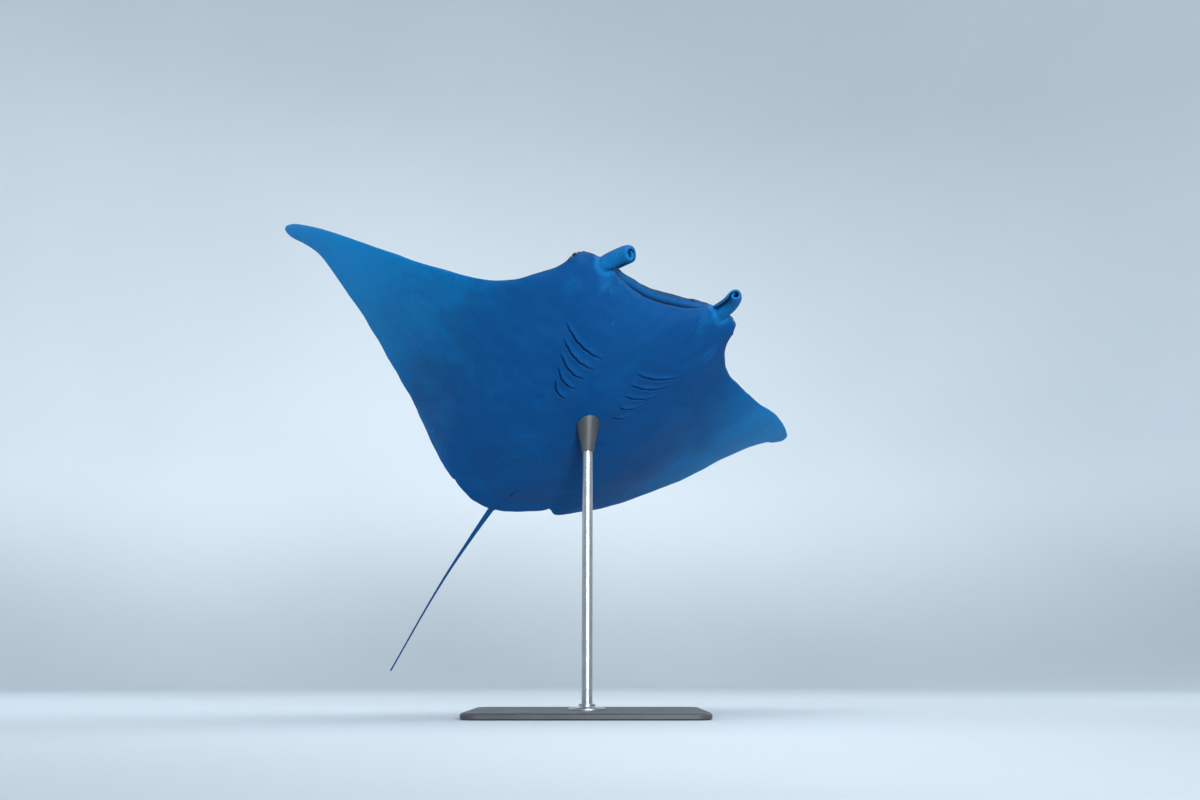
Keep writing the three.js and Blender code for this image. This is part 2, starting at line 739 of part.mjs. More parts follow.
for (let i = 0; i < 3; i += 1) {
  const room = block(
    [tailCuts[i] + HALF_GAP, tailCuts[i + 1] - HALF_GAP],
    [-WING_CUT + HALF_GAP, WING_CUT - HALF_GAP],
    wholeHeight,
  );
  parts[`tail_${i + 1}`] = body.intersect(room);
}

// ---- The stand -----------------------------------------------------------------------------

function baseGeometry() {
  const halfX = BASE_LENGTH / 2 - BASE_BEVEL;
  const halfY = BASE_WIDTH / 2 - BASE_BEVEL;
  const corner = BASE_CORNER - BASE_BEVEL;
  const outline = new THREE.Shape();
  outline.absarc(halfX - corner, halfY - corner, corner, 0, Math.PI / 2);
  outline.absarc(corner - halfX, halfY - corner, corner, Math.PI / 2, Math.PI);
  outline.absarc(corner - halfX, corner - halfY, corner, Math.PI, 1.5 * Math.PI);
  outline.absarc(halfX - corner, corner - halfY, corner, 1.5 * Math.PI, 2 * Math.PI);
  const plate = new THREE.ExtrudeGeometry(outline, {
    depth: BASE_HEIGHT - 2 * BASE_BEVEL,
    bevelThickness: BASE_BEVEL,
    bevelSize: BASE_BEVEL,
    bevelSegments: 1,
    curveSegments: 6,
  });
  return plate.translate(0, 0, BASE_BEVEL);
}

const COLLAR_SIDES = 22;
const POST_SIDES = 28;

// A ring that stands on the base round the foot of the rod.
function collarGeometry() {
  const bore = ROD_RADIUS + GAP;
  const wall = bore + COLLAR_WALL;
  const profile = [
    [bore, 0],
    [COLLAR_RADIUS, 0],
    [COLLAR_RADIUS, COLLAR_FLANGE - COLLAR_EDGE],
    [COLLAR_RADIUS - COLLAR_EDGE, COLLAR_FLANGE],
    [wall + COLLAR_EDGE, COLLAR_FLANGE],
    [wall, COLLAR_FLANGE + COLLAR_EDGE],
    [wall, COLLAR_HEIGHT],
    [bore, COLLAR_HEIGHT],
    [bore, 0],
  ].map(([x, y]) => new THREE.Vector2(x, y));
  return new THREE.LatheGeometry(profile, COLLAR_SIDES).rotateX(Math.PI / 2);
}

// Upright solid of revolution between two heights, with a radius for each.
function postGeometry(bottom, top, bottomRadius, topRadius) {
  const height = top - bottom;
  const post = new THREE.CylinderGeometry(topRadius, bottomRadius, height, POST_SIDES);
  return post.rotateX(Math.PI / 2).translate(0, 0, (top + bottom) / 2);
}

// ---- The scene graph -----------------------------------------------------------------------

const SKIN = { color: 0x17304c, roughness: 0.55, metalness: 0 };
const EYE = { color: 0x0a0c10, roughness: 0.08, metalness: 0 };
const PAINT = { color: 0x2a2c2f, roughness: 0.45, metalness: 0.2 };
const STEEL = { color: 0x9a9da1, roughness: 0.3, metalness: 1 };

function named(name, geometry, look) {
  const mesh = new THREE.Mesh(geometry, new THREE.MeshStandardMaterial(look));
  mesh.name = name;
  return mesh;
}

const animal = new THREE.Group();
animal.rotation.set(radians(BANK), radians(-CLIMB), radians(HEADING), 'ZYX');
animal.position.copy(BODY_AT);
animal.updateMatrixWorld(true);
for (const [name, part] of Object.entries(parts)) {
  animal.add(named(name, geometryOf(part), name.startsWith('eye_') ? EYE : SKIN));
}

// The saddle ends against the belly.
const bellyAbove = solid(geometryOf(clearOfBody).applyMatrix4(animal.matrixWorld));
const saddleBlank = postGeometry(SADDLE_BOTTOM, BODY_AT.z, SADDLE_FOOT_RADIUS, SADDLE_RADIUS);
const saddle = solid(saddleBlank).subtract(bellyAbove);

const stand = new THREE.Group();
stand.add(named('stand_base', baseGeometry(), PAINT));
const collar = named('stand_collar', collarGeometry(), STEEL);
collar.position.z = BASE_HEIGHT;
stand.add(collar);
const rod = postGeometry(BASE_HEIGHT, SADDLE_BOTTOM, ROD_RADIUS, ROD_RADIUS);
stand.add(named('stand_rod', rod, STEEL));
stand.add(named('stand_saddle', geometryOf(saddle), PAINT));

const model = new THREE.Group();
model.add(animal, stand);

export default model;
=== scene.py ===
"""The looks of the manta ray display model: one skin over the whole animal, its eyes, the
finish of the stand, and a plain studio. Lengths inside the shape code are millimetres."""

import math
from functools import reduce

import bmesh
import bpy
import numpy as np
from mathutils import Euler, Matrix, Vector
from mathutils.kdtree import KDTree


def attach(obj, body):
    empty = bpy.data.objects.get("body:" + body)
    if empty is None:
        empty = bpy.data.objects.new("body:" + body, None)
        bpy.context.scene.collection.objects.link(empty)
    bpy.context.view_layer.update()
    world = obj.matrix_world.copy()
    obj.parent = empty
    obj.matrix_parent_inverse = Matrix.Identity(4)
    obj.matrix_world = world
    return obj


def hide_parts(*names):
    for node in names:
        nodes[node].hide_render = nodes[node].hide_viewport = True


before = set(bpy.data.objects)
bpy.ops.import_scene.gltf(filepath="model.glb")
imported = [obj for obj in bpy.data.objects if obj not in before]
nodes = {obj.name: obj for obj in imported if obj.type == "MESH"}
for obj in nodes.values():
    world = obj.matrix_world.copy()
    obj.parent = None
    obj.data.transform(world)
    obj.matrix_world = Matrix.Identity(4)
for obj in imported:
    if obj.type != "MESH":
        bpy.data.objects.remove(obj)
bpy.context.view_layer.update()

MM = 0.001
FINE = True
DENSITY = 1.0 if FINE else 0.5

# ---- The animal's driving dimensions, the same as in the solids ----

DISC_LENGTH = 1400.0
HALF_SPAN = 1640.0
LEADING_EDGE = [
    (0, 46), (150, 27), (260, 4), (380, 42), (476, 158), (602, 270),
    (812, 369), (1120, 498), (1400, 662), (HALF_SPAN, 838),
]
TRAILING_EDGE = [
    (0, 1440), (70, 1420), (150, 1374), (205, 1354), (240, 1352), (283, 1372), (350, 1345),
    (415, 1321), (490, 1306), (620, 1278), (840, 1185), (1040, 1074), (1190, 974), (1428, 849),
    (HALF_SPAN, 918),
]
TIP_ROUNDING = 85.0
BACK_HEIGHT, BACK_WIDTH = 150.0, 420.0
BELLY_DEPTH, BELLY_WIDTH = 102.0, 500.0
WING_HALF_THICKNESS, TIP_HALF_THICKNESS, WING_BELLY_SHARE = 27.0, 6.0, 0.8
EDGE_HALF_THICKNESS = 1.5
NOSE_POWER = (0.36, 0.52)
TAIL_POWER = (0.85, 1.0)
SECTION_CHANGE = (200, 700)

BEND_RIGHT = [(0, 0), (266, 0), (462, 22.8), (770, 27.8), (1190, 37), (HALF_SPAN, 49)]
BEND_LEFT = [(0, 0), (266, 0), (462, 13.7), (770, 19.6), (1190, 32), (HALF_SPAN, 28)]
TWIST_RIGHT = [(0, 0), (280, 0), (700, -18.4), (1190, -27.5), (HALF_SPAN, -22.6)]
TWIST_LEFT = [(0, 0), (280, 0), (700, -5.8), (1190, -12.2), (HALF_SPAN, -22.6)]
TWIST_AXIS = [(0, 560), (HALF_SPAN, 812)]
SWEEP_RIGHT, SWEEP_LEFT = 4.0, 90.0
SWEEP_START, SWEEP_POWER = 420.0, 2.0

HEAD_LEAN, LEAN_FADE = -24.0, (120, 640)
SNOUT_TURN, TURN_FADE = -3.8, (-20, 200)
HEAD_FADE = (300, 700)

SHOULDER_RIGHT, SHOULDER_LEFT = (34.0, 420.0, 150.0), (-16.0, 560.0, 90.0)
SHOULDER_FADE = (150, 700)

MOUTH_HALF_WIDTH = 232.0
MOUTH_GAPE = 20.0
MOUTH_DEPTH = 120.0
MOUTH_INWARD_POWER = 0.7
MOUTH_NARROWING = 0.45
JAW_SETBACK, JAW_SETBACK_POWER = 10.0, 6
LIP_POWER, LIP_SPREAD = 3, 4

EYE_BULGE_AT = (42.0, 350.0, 6.0)
EYE_BULGE_REACH, EYE_BULGE_SPREAD, EYE_BULGE_FORWARD = 45.0, 78.0, 0.45
EYE_AT = (50.0, 411.0, 1.0)
EYE_RADIUS = 25.0

CEPHALIC_ROLL_RADIUS = 41.0
CEPHALIC_SHEET, SHEET_EDGE = 13.0, 0.35
CEPHALIC_TURNS = 1.3
CEPHALIC_INNER_SHRINK = 0.62
CEPHALIC_ROOT_SIZE, CEPHALIC_FLARE_POWER = 1.22, 1.6
CEPHALIC_TIP_SIZE = {1: 0.93, -1: 1.2}
CEPHALIC_ROOT = (45.0, 305.0, -4.0)
CEPHALIC_REACH = {
    1: ((-66.0, 340.0, -30.0), (-141.0, 275.0, -90.0)),
    -1: ((-86.0, 262.0, -41.0), (-122.0, 257.0, -80.0)),
}

TAIL_ROOT_RADIUS, TAIL_END_RADIUS, TAIL_ROOT_WIDENING = 17.0, 4.0, 1.25
TAIL_TAPER_POWER = 3.2
TAIL_START, TAIL_END = 1290.0, 2640.0
TAIL_HEIGHT, TAIL_DROP, TAIL_DROP_POWER = 7.0, 110.0, 1.6
TAIL_SWAY = [(0, -6), (0.12, -24), (0.4, -20), (1, 24)]

GILL_COUNT = 5
GILL_INNER, GILL_OUTER = (95.0, 380.0), (315.0, 322.0)
GILL_PITCH, GILL_NARROWING, GILL_SHORTENING = 66.0, 9.0, 24.0
GILL_BOW = 22.0

PELVIC_FRONT = 1250.0
PELVIC_REAR = {
    1: [(-16, 1464), (40, 1451), (82, 1437), (153, 1403), (214, 1384), (246, 1372)],
    -1: [(18, 1466), (70, 1464), (143, 1450), (205, 1422), (265, 1394), (335, 1350)],
}
PELVIC_HALF_THICKNESS, PELVIC_HEIGHT = 9.0, -7.0
PELVIC_ROUNDING_POWER = 6

DORSAL_MIDDLE, DORSAL_HALF_LENGTH = 1352.0, 62.0
DORSAL_FOOT, DORSAL_HEIGHT, DORSAL_RAKE = 12.0, 82.0, 38.0
DORSAL_HALF_THICKNESS = 9.0
DORSAL_TAPER, DORSAL_TAPER_POWER = 0.76, 1.4

HEADING, CLIMB, BANK = -48.0, 36.0, -16.9
BODY_AT = (-40.0, 15.0, 1420.0)

SIDES = {"left": 1, "right": -1}


# ---- Curves and sections ----

def smooth(knots, level=False):
    """A curve through (x, value) knots that never overshoots them, level at its start or not."""
    x = np.array([k[0] for k in knots], float)
    v = np.array([k[1] for k in knots], float)
    step = np.diff(x)
    rise = np.diff(v) / step
    slope = np.zeros_like(x)
    slope[0], slope[-1] = 0 if level else rise[0], rise[-1]
    for i in range(1, len(x) - 1):
        if rise[i - 1] * rise[i] > 0:
            before = 2 * step[i] + step[i - 1]
            after = step[i] + 2 * step[i - 1]
            slope[i] = (before + after) / (before / rise[i - 1] + after / rise[i])

    def curve(at):
        at = np.asarray(at, float)
        i = np.clip(np.searchsorted(x, at, side="right") - 1, 0, len(step) - 1)
        t = np.clip((at - x[i]) / step[i], 0, 1)
        return (
            v[i] * (1 + 2 * t) * (1 - t) ** 2
            + slope[i] * step[i] * t * (1 - t) ** 2
            + v[i + 1] * t * t * (3 - 2 * t)
            + slope[i + 1] * step[i] * t * t * (t - 1)
        )

    return curve


def smoothstep(x, low, high):
    t = np.clip((np.asarray(x, float) - low) / (high - low), 0, 1)
    return t * t * (3 - 2 * t)


def bell(x):
    return np.exp(-np.square(x))


def mix(a, b, t):
    return a + (b - a) * t


leading_raw = smooth(LEADING_EDGE, level=True)
trailing_raw = smooth(TRAILING_EDGE)


def tip_closing(y):
    outboard = np.maximum(0, np.abs(y) - (HALF_SPAN - TIP_ROUNDING)) / TIP_ROUNDING
    return np.sqrt(np.maximum(0, 1 - outboard**2))


def chord(y):
    """Front and rear of the section at y."""
    front, rear = leading_raw(np.abs(y)), trailing_raw(np.abs(y))
    middle = (front + rear) / 2
    half = (rear - front) / 2 * tip_closing(y)
    return middle - half, middle + half


def thickness(y):
    """Height of the back and depth of the belly at y."""
    wing = mix(WING_HALF_THICKNESS, TIP_HALF_THICKNESS, np.abs(y) / HALF_SPAN)
    back = wing + BACK_HEIGHT * bell(y / BACK_WIDTH)
    belly = wing * WING_BELLY_SHARE + BELLY_DEPTH * bell(y / BELLY_WIDTH)
    return back, belly


def chord_shape(u, y):
    outward = smoothstep(np.abs(y), *SECTION_CHANGE)
    nose, tail = mix(*NOSE_POWER, outward), mix(*TAIL_POWER, outward)
    peak_at = nose / (nose + tail)
    peak = peak_at**nose * (1 - peak_at) ** tail
    return u**nose * (1 - u) ** tail / peak


def mouth_opening(y):
    across = np.minimum(np.abs(y) / MOUTH_HALF_WIDTH, 1)
    return np.sqrt(1 - across**4)


def crowded(count, start, end):
    """Stations from start to end, closer together towards the end."""
    return mix(start, end, np.sin(np.pi / 2 * np.arange(1, count + 1) / count))


def even(count, start, end):
    return mix(start, end, np.arange(1, count + 1) / count)


SPAN_COUNTS, ROOT_END, TIP_START = (70, 80, 60, 90), 470, 900
NOSE_END, DENSE_END = 0.06, 0.55
NOSE_COUNT, BACK_COUNTS, BELLY_COUNTS, MOUTH_COUNT = 22, (110, 70), (250, 70), 48
LIP_END = 0.08
BACK, BELLY, MOUTH, TAIL, HORN_LEFT, HORN_RIGHT, PELVIC, DORSAL = range(8)


def span_stations():
    mouth, root, wing, tip = (int(count * DENSITY) for count in SPAN_COUNTS)
    half = np.concatenate([
        crowded(mouth, 0, MOUTH_HALF_WIDTH),
        even(root, MOUTH_HALF_WIDTH, ROOT_END),
        even(wing, ROOT_END, TIP_START),
        crowded(tip, TIP_START, HALF_SPAN),
    ])
    return np.concatenate([-half[::-1], [0], half])


def chord_steps(dense, sparse):
    """Places along the chord: crowded at the nose, dense to past the gills, then sparser."""
    nose = NOSE_END * (1 - np.cos(np.pi / 2 * np.arange(NOSE_COUNT) / NOSE_COUNT))
    middle = np.linspace(NOSE_END, DENSE_END, int(dense * DENSITY), endpoint=False)
    back = np.linspace(0, 1, int(sparse * DENSITY))
    rear = mix(DENSE_END, 1, np.sin(np.pi / 2 * back))
    return np.concatenate([nose, middle, rear])


def disc_grid():
    """The disc's rings in flat coordinates, and each place's kind."""
    y = span_stations()[:, None]
    front, rear = chord(y)
    back, belly = thickness(y)
    closing, opening = tip_closing(y), mouth_opening(y)
    half_gape = MOUTH_GAPE / 2 * opening
    setback = JAW_SETBACK * opening
    top = chord_steps(*BACK_COUNTS)[None, :]
    under = chord_steps(*BELLY_COUNTS)[None, ::-1]

    def height(u, depth):
        spread = opening ** (1 + LIP_SPREAD * smoothstep(u, 0, LIP_END))
        lip = MOUTH_GAPE / 2 * spread * (1 - u) ** LIP_POWER
        return (depth * chord_shape(u, y) + EDGE_HALF_THICKNESS * u) * closing + lip

    s_top = front + (rear - front) * top
    behind = setback * (1 - under) ** JAW_SETBACK_POWER
    s_under = front + behind + (rear - front) * under
    turn = (np.pi * np.arange(1, MOUTH_COUNT) / MOUTH_COUNT)[None, :]
    inward = MOUTH_DEPTH * opening * np.sin(turn) ** MOUTH_INWARD_POWER
    s_mouth = front + setback * (0.5 + 0.5 * np.cos(turn)) + inward
    z_mouth = -half_gape * np.cos(turn) * (1 - MOUTH_NARROWING * np.sin(turn))
    s = np.concatenate([s_top, s_under, s_mouth], axis=1)
    z = np.concatenate([height(top, back), -height(under, belly), z_mouth], axis=1)
    kinds = np.repeat([BACK, BELLY, MOUTH], [top.size, under.size, turn.size])
    return np.stack([s, np.broadcast_to(y, s.shape), z], axis=2), kinds


def bulged(p):
    """Swells the side of the head outwards round the eye."""
    side = np.sign(p[..., 1])
    mirrored = np.stack([p[..., 0], np.abs(p[..., 1]), p[..., 2]], axis=-1)
    away = np.linalg.norm(mirrored - np.array(EYE_BULGE_AT), axis=-1)
    swell = EYE_BULGE_REACH * bell(away / EYE_BULGE_SPREAD)
    out = p.copy()
    out[..., 0] -= swell * EYE_BULGE_FORWARD
    out[..., 1] += side * swell
    return out


# ---- From the flat layout to the swimming animal ----

BEND_STEP = 2.0


def bend_table(knots):
    """Reach, height and angle of the bent wing at even steps along it."""
    along = np.arange(0, HALF_SPAN * 1.1, BEND_STEP)
    angle = np.radians(smooth(knots)(along))
    middle = (angle[1:] + angle[:-1]) / 2
    out = np.concatenate([[0], np.cumsum(np.cos(middle) * BEND_STEP)])
    up = np.concatenate([[0], np.cumsum(np.sin(middle) * BEND_STEP)])
    return along, out, up, angle


WING = {
    1: (bend_table(BEND_LEFT), smooth(TWIST_LEFT), SWEEP_LEFT, SHOULDER_LEFT),
    -1: (bend_table(BEND_RIGHT), smooth(TWIST_RIGHT), SWEEP_RIGHT, SHOULDER_RIGHT),
}
twist_axis = smooth(TWIST_AXIS)


def pose(p):
    """Takes flat points to the animal's own shape: x forward, y left, z towards the back."""
    s, y, z = p[..., 0], p[..., 1], p[..., 2]
    across = np.abs(y)
    result = np.zeros(p.shape)
    for side, (table, twist, sweep, (push, at, spread)) in WING.items():
        here = y < 0 if side < 0 else y >= 0
        a = across[here]
        turn = np.radians(twist(a))
        axis = twist_axis(a)
        behind = s[here] - axis
        s_twisted = axis + behind * np.cos(turn) + z[here] * np.sin(turn)
        z_twisted = z[here] * np.cos(turn) - behind * np.sin(turn)
        along, out, up, angle = table
        bent = np.interp(a, along, angle)
        reach = np.interp(a, along, out) - z_twisted * np.sin(bent)
        rise = np.interp(a, along, up) + z_twisted * np.cos(bent)
        outboard = np.maximum(0, a - SWEEP_START) / (HALF_SPAN - SWEEP_START)
        forward = sweep * outboard**SWEEP_POWER
        forward += push * bell((a - at) / spread) * (1 - smoothstep(s[here], *SHOULDER_FADE))
        x = DISC_LENGTH / 2 - s_twisted + forward
        share = 1 - smoothstep(a, *HEAD_FADE)
        snout = np.radians(SNOUT_TURN) * (1 - smoothstep(s[here], *TURN_FADE)) * share
        lean = HEAD_LEAN * (1 - smoothstep(s[here], *LEAN_FADE)) * share
        result[here] = np.stack([x - snout * y[here], side * reach + lean, rise], axis=-1)
    return result


ATTITUDE = np.array(
    Euler((math.radians(BANK), math.radians(-CLIMB), math.radians(HEADING)), "XYZ").to_matrix()
)


def to_world(p):
    """Posed points in millimetres to the shared frame in metres."""
    return (p @ ATTITUDE.T + np.array(BODY_AT)) * MM


def placed(name, data):
    """A new object in the scene."""
    made = bpy.data.objects.new(name, data)
    bpy.context.scene.collection.objects.link(made)
    return made


# ---- Pieces of the skin, in flat coordinates ----

WELD = 1e-4

# The UV map: its scale, and each chart's lower left corner.
UV_PER_MM = 0.94 / 3400
UV_ROW = 0.89
UV_CORNER = {
    BACK: (0.03, 0.03), BELLY: (0.03, 0.46), MOUTH: (0.02, UV_ROW), TAIL: (0.17, UV_ROW),
    HORN_LEFT: (0.56, UV_ROW), HORN_RIGHT: (0.69, UV_ROW), DORSAL: (0.92, UV_ROW),
}
UV_CORNER_PELVIC = {1: (0.81, UV_ROW), -1: (0.81, UV_ROW + 0.055)}


def ring_lengths(rings):
    """Distance along each ring to each of its places, and once round to the first again."""
    closed = np.concatenate([rings, rings[:, :1]], axis=1)
    steps = np.linalg.norm(np.diff(closed, axis=1), axis=2)
    return np.concatenate([np.zeros((len(rings), 1)), np.cumsum(steps, axis=1)], axis=1)


def loft(name, rings, uv_start, uv_end, kinds, band=False):
    """A closed mesh over a stack of rings. The UV corners are given at both ends of each strip
    between ring places. A band's ring runs along one side of a sheet and back on the other."""
    n, m = rings.shape[:2]
    i = np.arange(n - 1)[:, None]
    j = np.arange(m)[None, :]
    k = (j + 1) % m
    quads = np.stack([i * m + j, i * m + k, (i + 1) * m + k, (i + 1) * m + j], axis=-1)
    uvs = np.stack([uv_start[:-1], uv_end[:-1], uv_end[1:], uv_start[1:]], axis=2)
    quads, uvs = quads.reshape(-1, 4), uvs.reshape(-1, 4, 2)
    kinds = np.broadcast_to(kinds, (n - 1, m)).reshape(-1)
    points = rings.reshape(-1, 3)
    cells = np.round(points / WELD).astype(np.int64)
    _, first, welded = np.unique(cells, axis=0, return_index=True, return_inverse=True)
    welded = welded.reshape(-1)
    points, quads = points[first], welded[quads]
    same = quads == np.roll(quads, -1, axis=1)
    kept = (same.sum(axis=1) < 2) & (quads[:, 0] != quads[:, 2]) & (quads[:, 1] != quads[:, 3])
    use = ~same[kept]
    sizes, labels = use.sum(axis=1), kinds[kept]
    loops, corners = quads[kept][use], uvs[kept][use]
    # An end is covered by one face, or a band's by a row of quads.
    covers = [np.arange(m)]
    if band:
        covers = [np.array((a, a + 1, m - 2 - a, m - 1 - a)) for a in range(m // 2 - 1)]
    caps, cap_corners = [], []
    for end, way in ((0, -1), (n - 1, 1)):
        ring = welded[end * m:(end + 1) * m]
        if len(np.unique(ring)) > 2:
            caps += [ring[cover[::way]] for cover in covers]
            cap_corners += [uv_start[end][cover[::way]] for cover in covers]
    sizes = np.concatenate([sizes, [len(cap) for cap in caps]])
    labels = np.concatenate([labels, np.full(len(caps), kinds[0])])
    loops = np.concatenate([loops, *caps])
    corners = np.concatenate([corners, *cap_corners])
    mesh = bpy.data.meshes.new(name)
    mesh.vertices.add(len(points))
    mesh.loops.add(len(loops))
    mesh.polygons.add(len(sizes))
    write(mesh.vertices, "co", points)
    write(mesh.loops, "vertex_index", loops, np.int32)
    write(mesh.polygons, "loop_start", np.cumsum(sizes) - sizes, np.int32)
    mesh.update(calc_edges=True)
    write(mesh.uv_layers.new(name="OFBake").data, "uv", corners)
    write(mesh.attributes.new("kind", "INT", "FACE").data, "value", labels, np.int32)
    bm = bmesh.new()
    bm.from_mesh(mesh)
    if bm.calc_volume(signed=True) < 0:
        bmesh.ops.reverse_faces(bm, faces=bm.faces)
        bm.to_mesh(mesh)
    bm.free()
    return placed(name, mesh)


def strip_uv(u, v, corner):
    """UV places from millimetre charts laid at a corner of the map."""
    u, v = np.broadcast_arrays(u, v)
    return np.stack([corner[0] + u * UV_PER_MM, corner[1] + v * UV_PER_MM], axis=-1)


def disc_piece():
    rings, place_kinds = disc_grid()
    rings = bulged(rings)
    run = ring_lengths(rings)
    lip = run[:, :-1][:, place_kinds == BELLY][:, -1:]
    kinds = np.append(place_kinds[1:], MOUTH)  # A strip is of the kind that it leads to.
    y = rings[:, :1, 1]

    def chart(distance):
        back = strip_uv(y + HALF_SPAN, distance, UV_CORNER[BACK])
        belly = strip_uv(y + HALF_SPAN, lip - distance, UV_CORNER[BELLY])
        mouth = strip_uv(y + MOUTH_HALF_WIDTH, distance - lip, UV_CORNER[MOUTH])
        pick = kinds[None, :, None]
        return np.where(pick == BACK, back, np.where(pick == BELLY, belly, mouth))

    return loft("disc", rings, chart(run[:, :-1]), chart(run[:, 1:]), kinds)


def ellipse_rings(centres, across, up, radii_across, radii_up, sides):
    turn = 2 * np.pi * np.arange(sides)[:, None] / sides
    return (
        centres[:, None]
        + np.cos(turn) * radii_across[:, None, None] * across
        + np.sin(turn) * radii_up[:, None, None] * up
    )


def simple_piece(name, rings, along, corner, kind, band=False, swap=False):
    """A loft whose UV chart is its rings unrolled."""
    run = ring_lengths(rings)
    along = np.asarray(along, float)[:, None]
    start, end = (
        strip_uv(round_it, along, corner) if swap else strip_uv(along, round_it, corner)
        for round_it in (run[:, :-1], run[:, 1:])
    )
    return loft(name, rings, start, end, np.full(rings.shape[1], kind), band)


def rounded_end(rings, tip_rings, tip_length, thinnest):
    """Places along a spike, the same held at its tip, and how full its rounded end is there."""
    tip = np.linspace(0, 1, tip_rings + 1)[1:]
    t = np.concatenate([np.linspace(0, 1, rings), 1 + tip * tip_length])
    full = np.concatenate([np.ones(rings), np.sqrt(np.maximum(thinnest**2, 1 - tip**2))])
    return t, np.minimum(t, 1), full


def tail_piece():
    length = TAIL_END - TAIL_START
    t, held, full = rounded_end(260, 7, TAIL_END_RADIUS / length, 0)
    radius = mix(TAIL_ROOT_RADIUS, TAIL_END_RADIUS, 1 - (1 - held) ** TAIL_TAPER_POWER) * full
    drop = TAIL_DROP * held**TAIL_DROP_POWER
    centres = np.stack([TAIL_START + t * length, smooth(TAIL_SWAY)(held), TAIL_HEIGHT - drop], 1)
    wide = radius * mix(TAIL_ROOT_WIDENING, 1, held)
    rings = ellipse_rings(centres, (0, -1, 0), (0, 0, 1), wide, radius, 40)
    return simple_piece("tail", rings, t * length, UV_CORNER[TAIL], TAIL)


HORN_STEPS, HORN_RINGS = (90, 80) if FINE else (50, 40)
HORN_CAP, HORN_CAP_RINGS, HORN_CAP_EDGE = 4.0, 6, 0.12
HORN_OUTER_CUT, HORN_INNER_CUT, HORN_LEAN = 20, 8, 6
SHEET_EDGE_RISE = 4


def cephalic_piece(name, side):
    """One rolled fin: each ring runs along the outer side of the rolled sheet and back along its
    inner side. The free end is rounded, and leans back towards the inner roll."""
    start = np.array(CEPHALIC_ROOT)
    bow, tip = (np.array(p) for p in CEPHALIC_REACH[side])
    t = np.concatenate([np.linspace(0, 1, HORN_RINGS), np.ones(HORN_CAP_RINGS)])[:, None]
    cap = np.concatenate([np.zeros(HORN_RINGS - 1), np.linspace(0, 1, HORN_CAP_RINGS + 1)])[:, None]
    centre = (1 - t) ** 2 * start + 2 * t * (1 - t) * bow + t * t * tip
    tangent = (1 - t) * (bow - start) + t * (tip - bow)
    tangent /= np.linalg.norm(tangent, axis=1, keepdims=True)
    up = (0, 0, 1) - tangent * tangent[:, 2:]
    up /= np.linalg.norm(up, axis=1, keepdims=True)
    across = np.cross(up, tangent)

    size = mix(CEPHALIC_TIP_SIZE[side], CEPHALIC_ROOT_SIZE, (1 - t) ** CEPHALIC_FLARE_POWER)
    size = size * np.sqrt(1 - 0.25 * np.maximum(0, (t - 0.8) / 0.2) ** 2)
    out = np.linspace(0, 1, HORN_STEPS)
    edge = np.minimum(1, SHEET_EDGE + SHEET_EDGE_RISE * np.minimum(out, 1 - out))
    sheet = CEPHALIC_SHEET * size * edge
    sheet_share = np.maximum(HORN_CAP_EDGE, np.sqrt(1 - cap**2 * 0.98))
    middle = CEPHALIC_ROLL_RADIUS * size * (1 - CEPHALIC_INNER_SHRINK * out) - sheet / 2
    half = sheet * sheet_share / 2
    radius = np.concatenate([middle + half, (middle - half)[:, ::-1]], axis=1)
    roll = np.concatenate([out, out[::-1]])
    turn = 2 * np.pi * CEPHALIC_TURNS * roll
    lean = HORN_LEAN - HORN_OUTER_CUT * (1 - smoothstep(roll, 0, 0.3))
    lean -= HORN_INNER_CUT * smoothstep(roll, 0.5, 1)
    push = cap * HORN_CAP + smoothstep(t, 0.4, 1) * lean
    rings = centre[:, None] + push[:, :, None] * tangent[:, None]
    rings += (radius * np.cos(turn))[:, :, None] * across[:, None]
    rings += (radius * np.sin(turn))[:, :, None] * up[:, None]
    rings[:, :, 1] *= side
    steps = np.linalg.norm(np.diff(centre, axis=0), axis=1)
    along = np.concatenate([[0], np.cumsum(steps)]) + cap[:, 0] * HORN_CAP
    kind = HORN_LEFT if side > 0 else HORN_RIGHT
    return simple_piece(name, rings, along, UV_CORNER[kind], kind, band=True, swap=True)


PELVIC_THINNING, PELVIC_THINNEST = 0.45, 0.04


def pelvic_piece(name, side):
    rear = smooth(PELVIC_REAR[side])
    outward = np.sin(np.pi / 2 * np.linspace(0, 1, 50))
    y = mix(PELVIC_REAR[side][0][0], PELVIC_REAR[side][-1][0], outward)
    closing = np.maximum(PELVIC_THINNEST, np.sqrt(1 - outward**PELVIC_ROUNDING_POWER))
    middle, half = (PELVIC_FRONT + rear(y)) / 2, (rear(y) - PELVIC_FRONT) / 2 * closing
    centres = np.stack([middle, y * side, np.full_like(y, PELVIC_HEIGHT)], axis=1)
    thick = PELVIC_HALF_THICKNESS * closing * (1 - PELVIC_THINNING * outward)
    rings = ellipse_rings(centres, (1, 0, 0), (0, 0, 1), half, thick, 72)
    return simple_piece(name, rings, y, UV_CORNER_PELVIC[side], PELVIC, swap=True)


def dorsal_piece():
    t, held, full = rounded_end(40, 5, 0.05, 0.05)
    taper = (1 - DORSAL_TAPER * held**DORSAL_TAPER_POWER) * full
    centres = np.stack([
        DORSAL_MIDDLE + DORSAL_RAKE * t, np.zeros_like(t), DORSAL_FOOT + DORSAL_HEIGHT * t,
    ], axis=1)
    rings = ellipse_rings(
        centres, (1, 0, 0), (0, 1, 0), DORSAL_HALF_LENGTH * taper,
        DORSAL_HALF_THICKNESS * taper, 48,
    )
    along = t * DORSAL_HEIGHT
    return simple_piece("dorsal", rings, along, UV_CORNER[DORSAL], DORSAL, swap=True)


# ---- One skin from the pieces ----

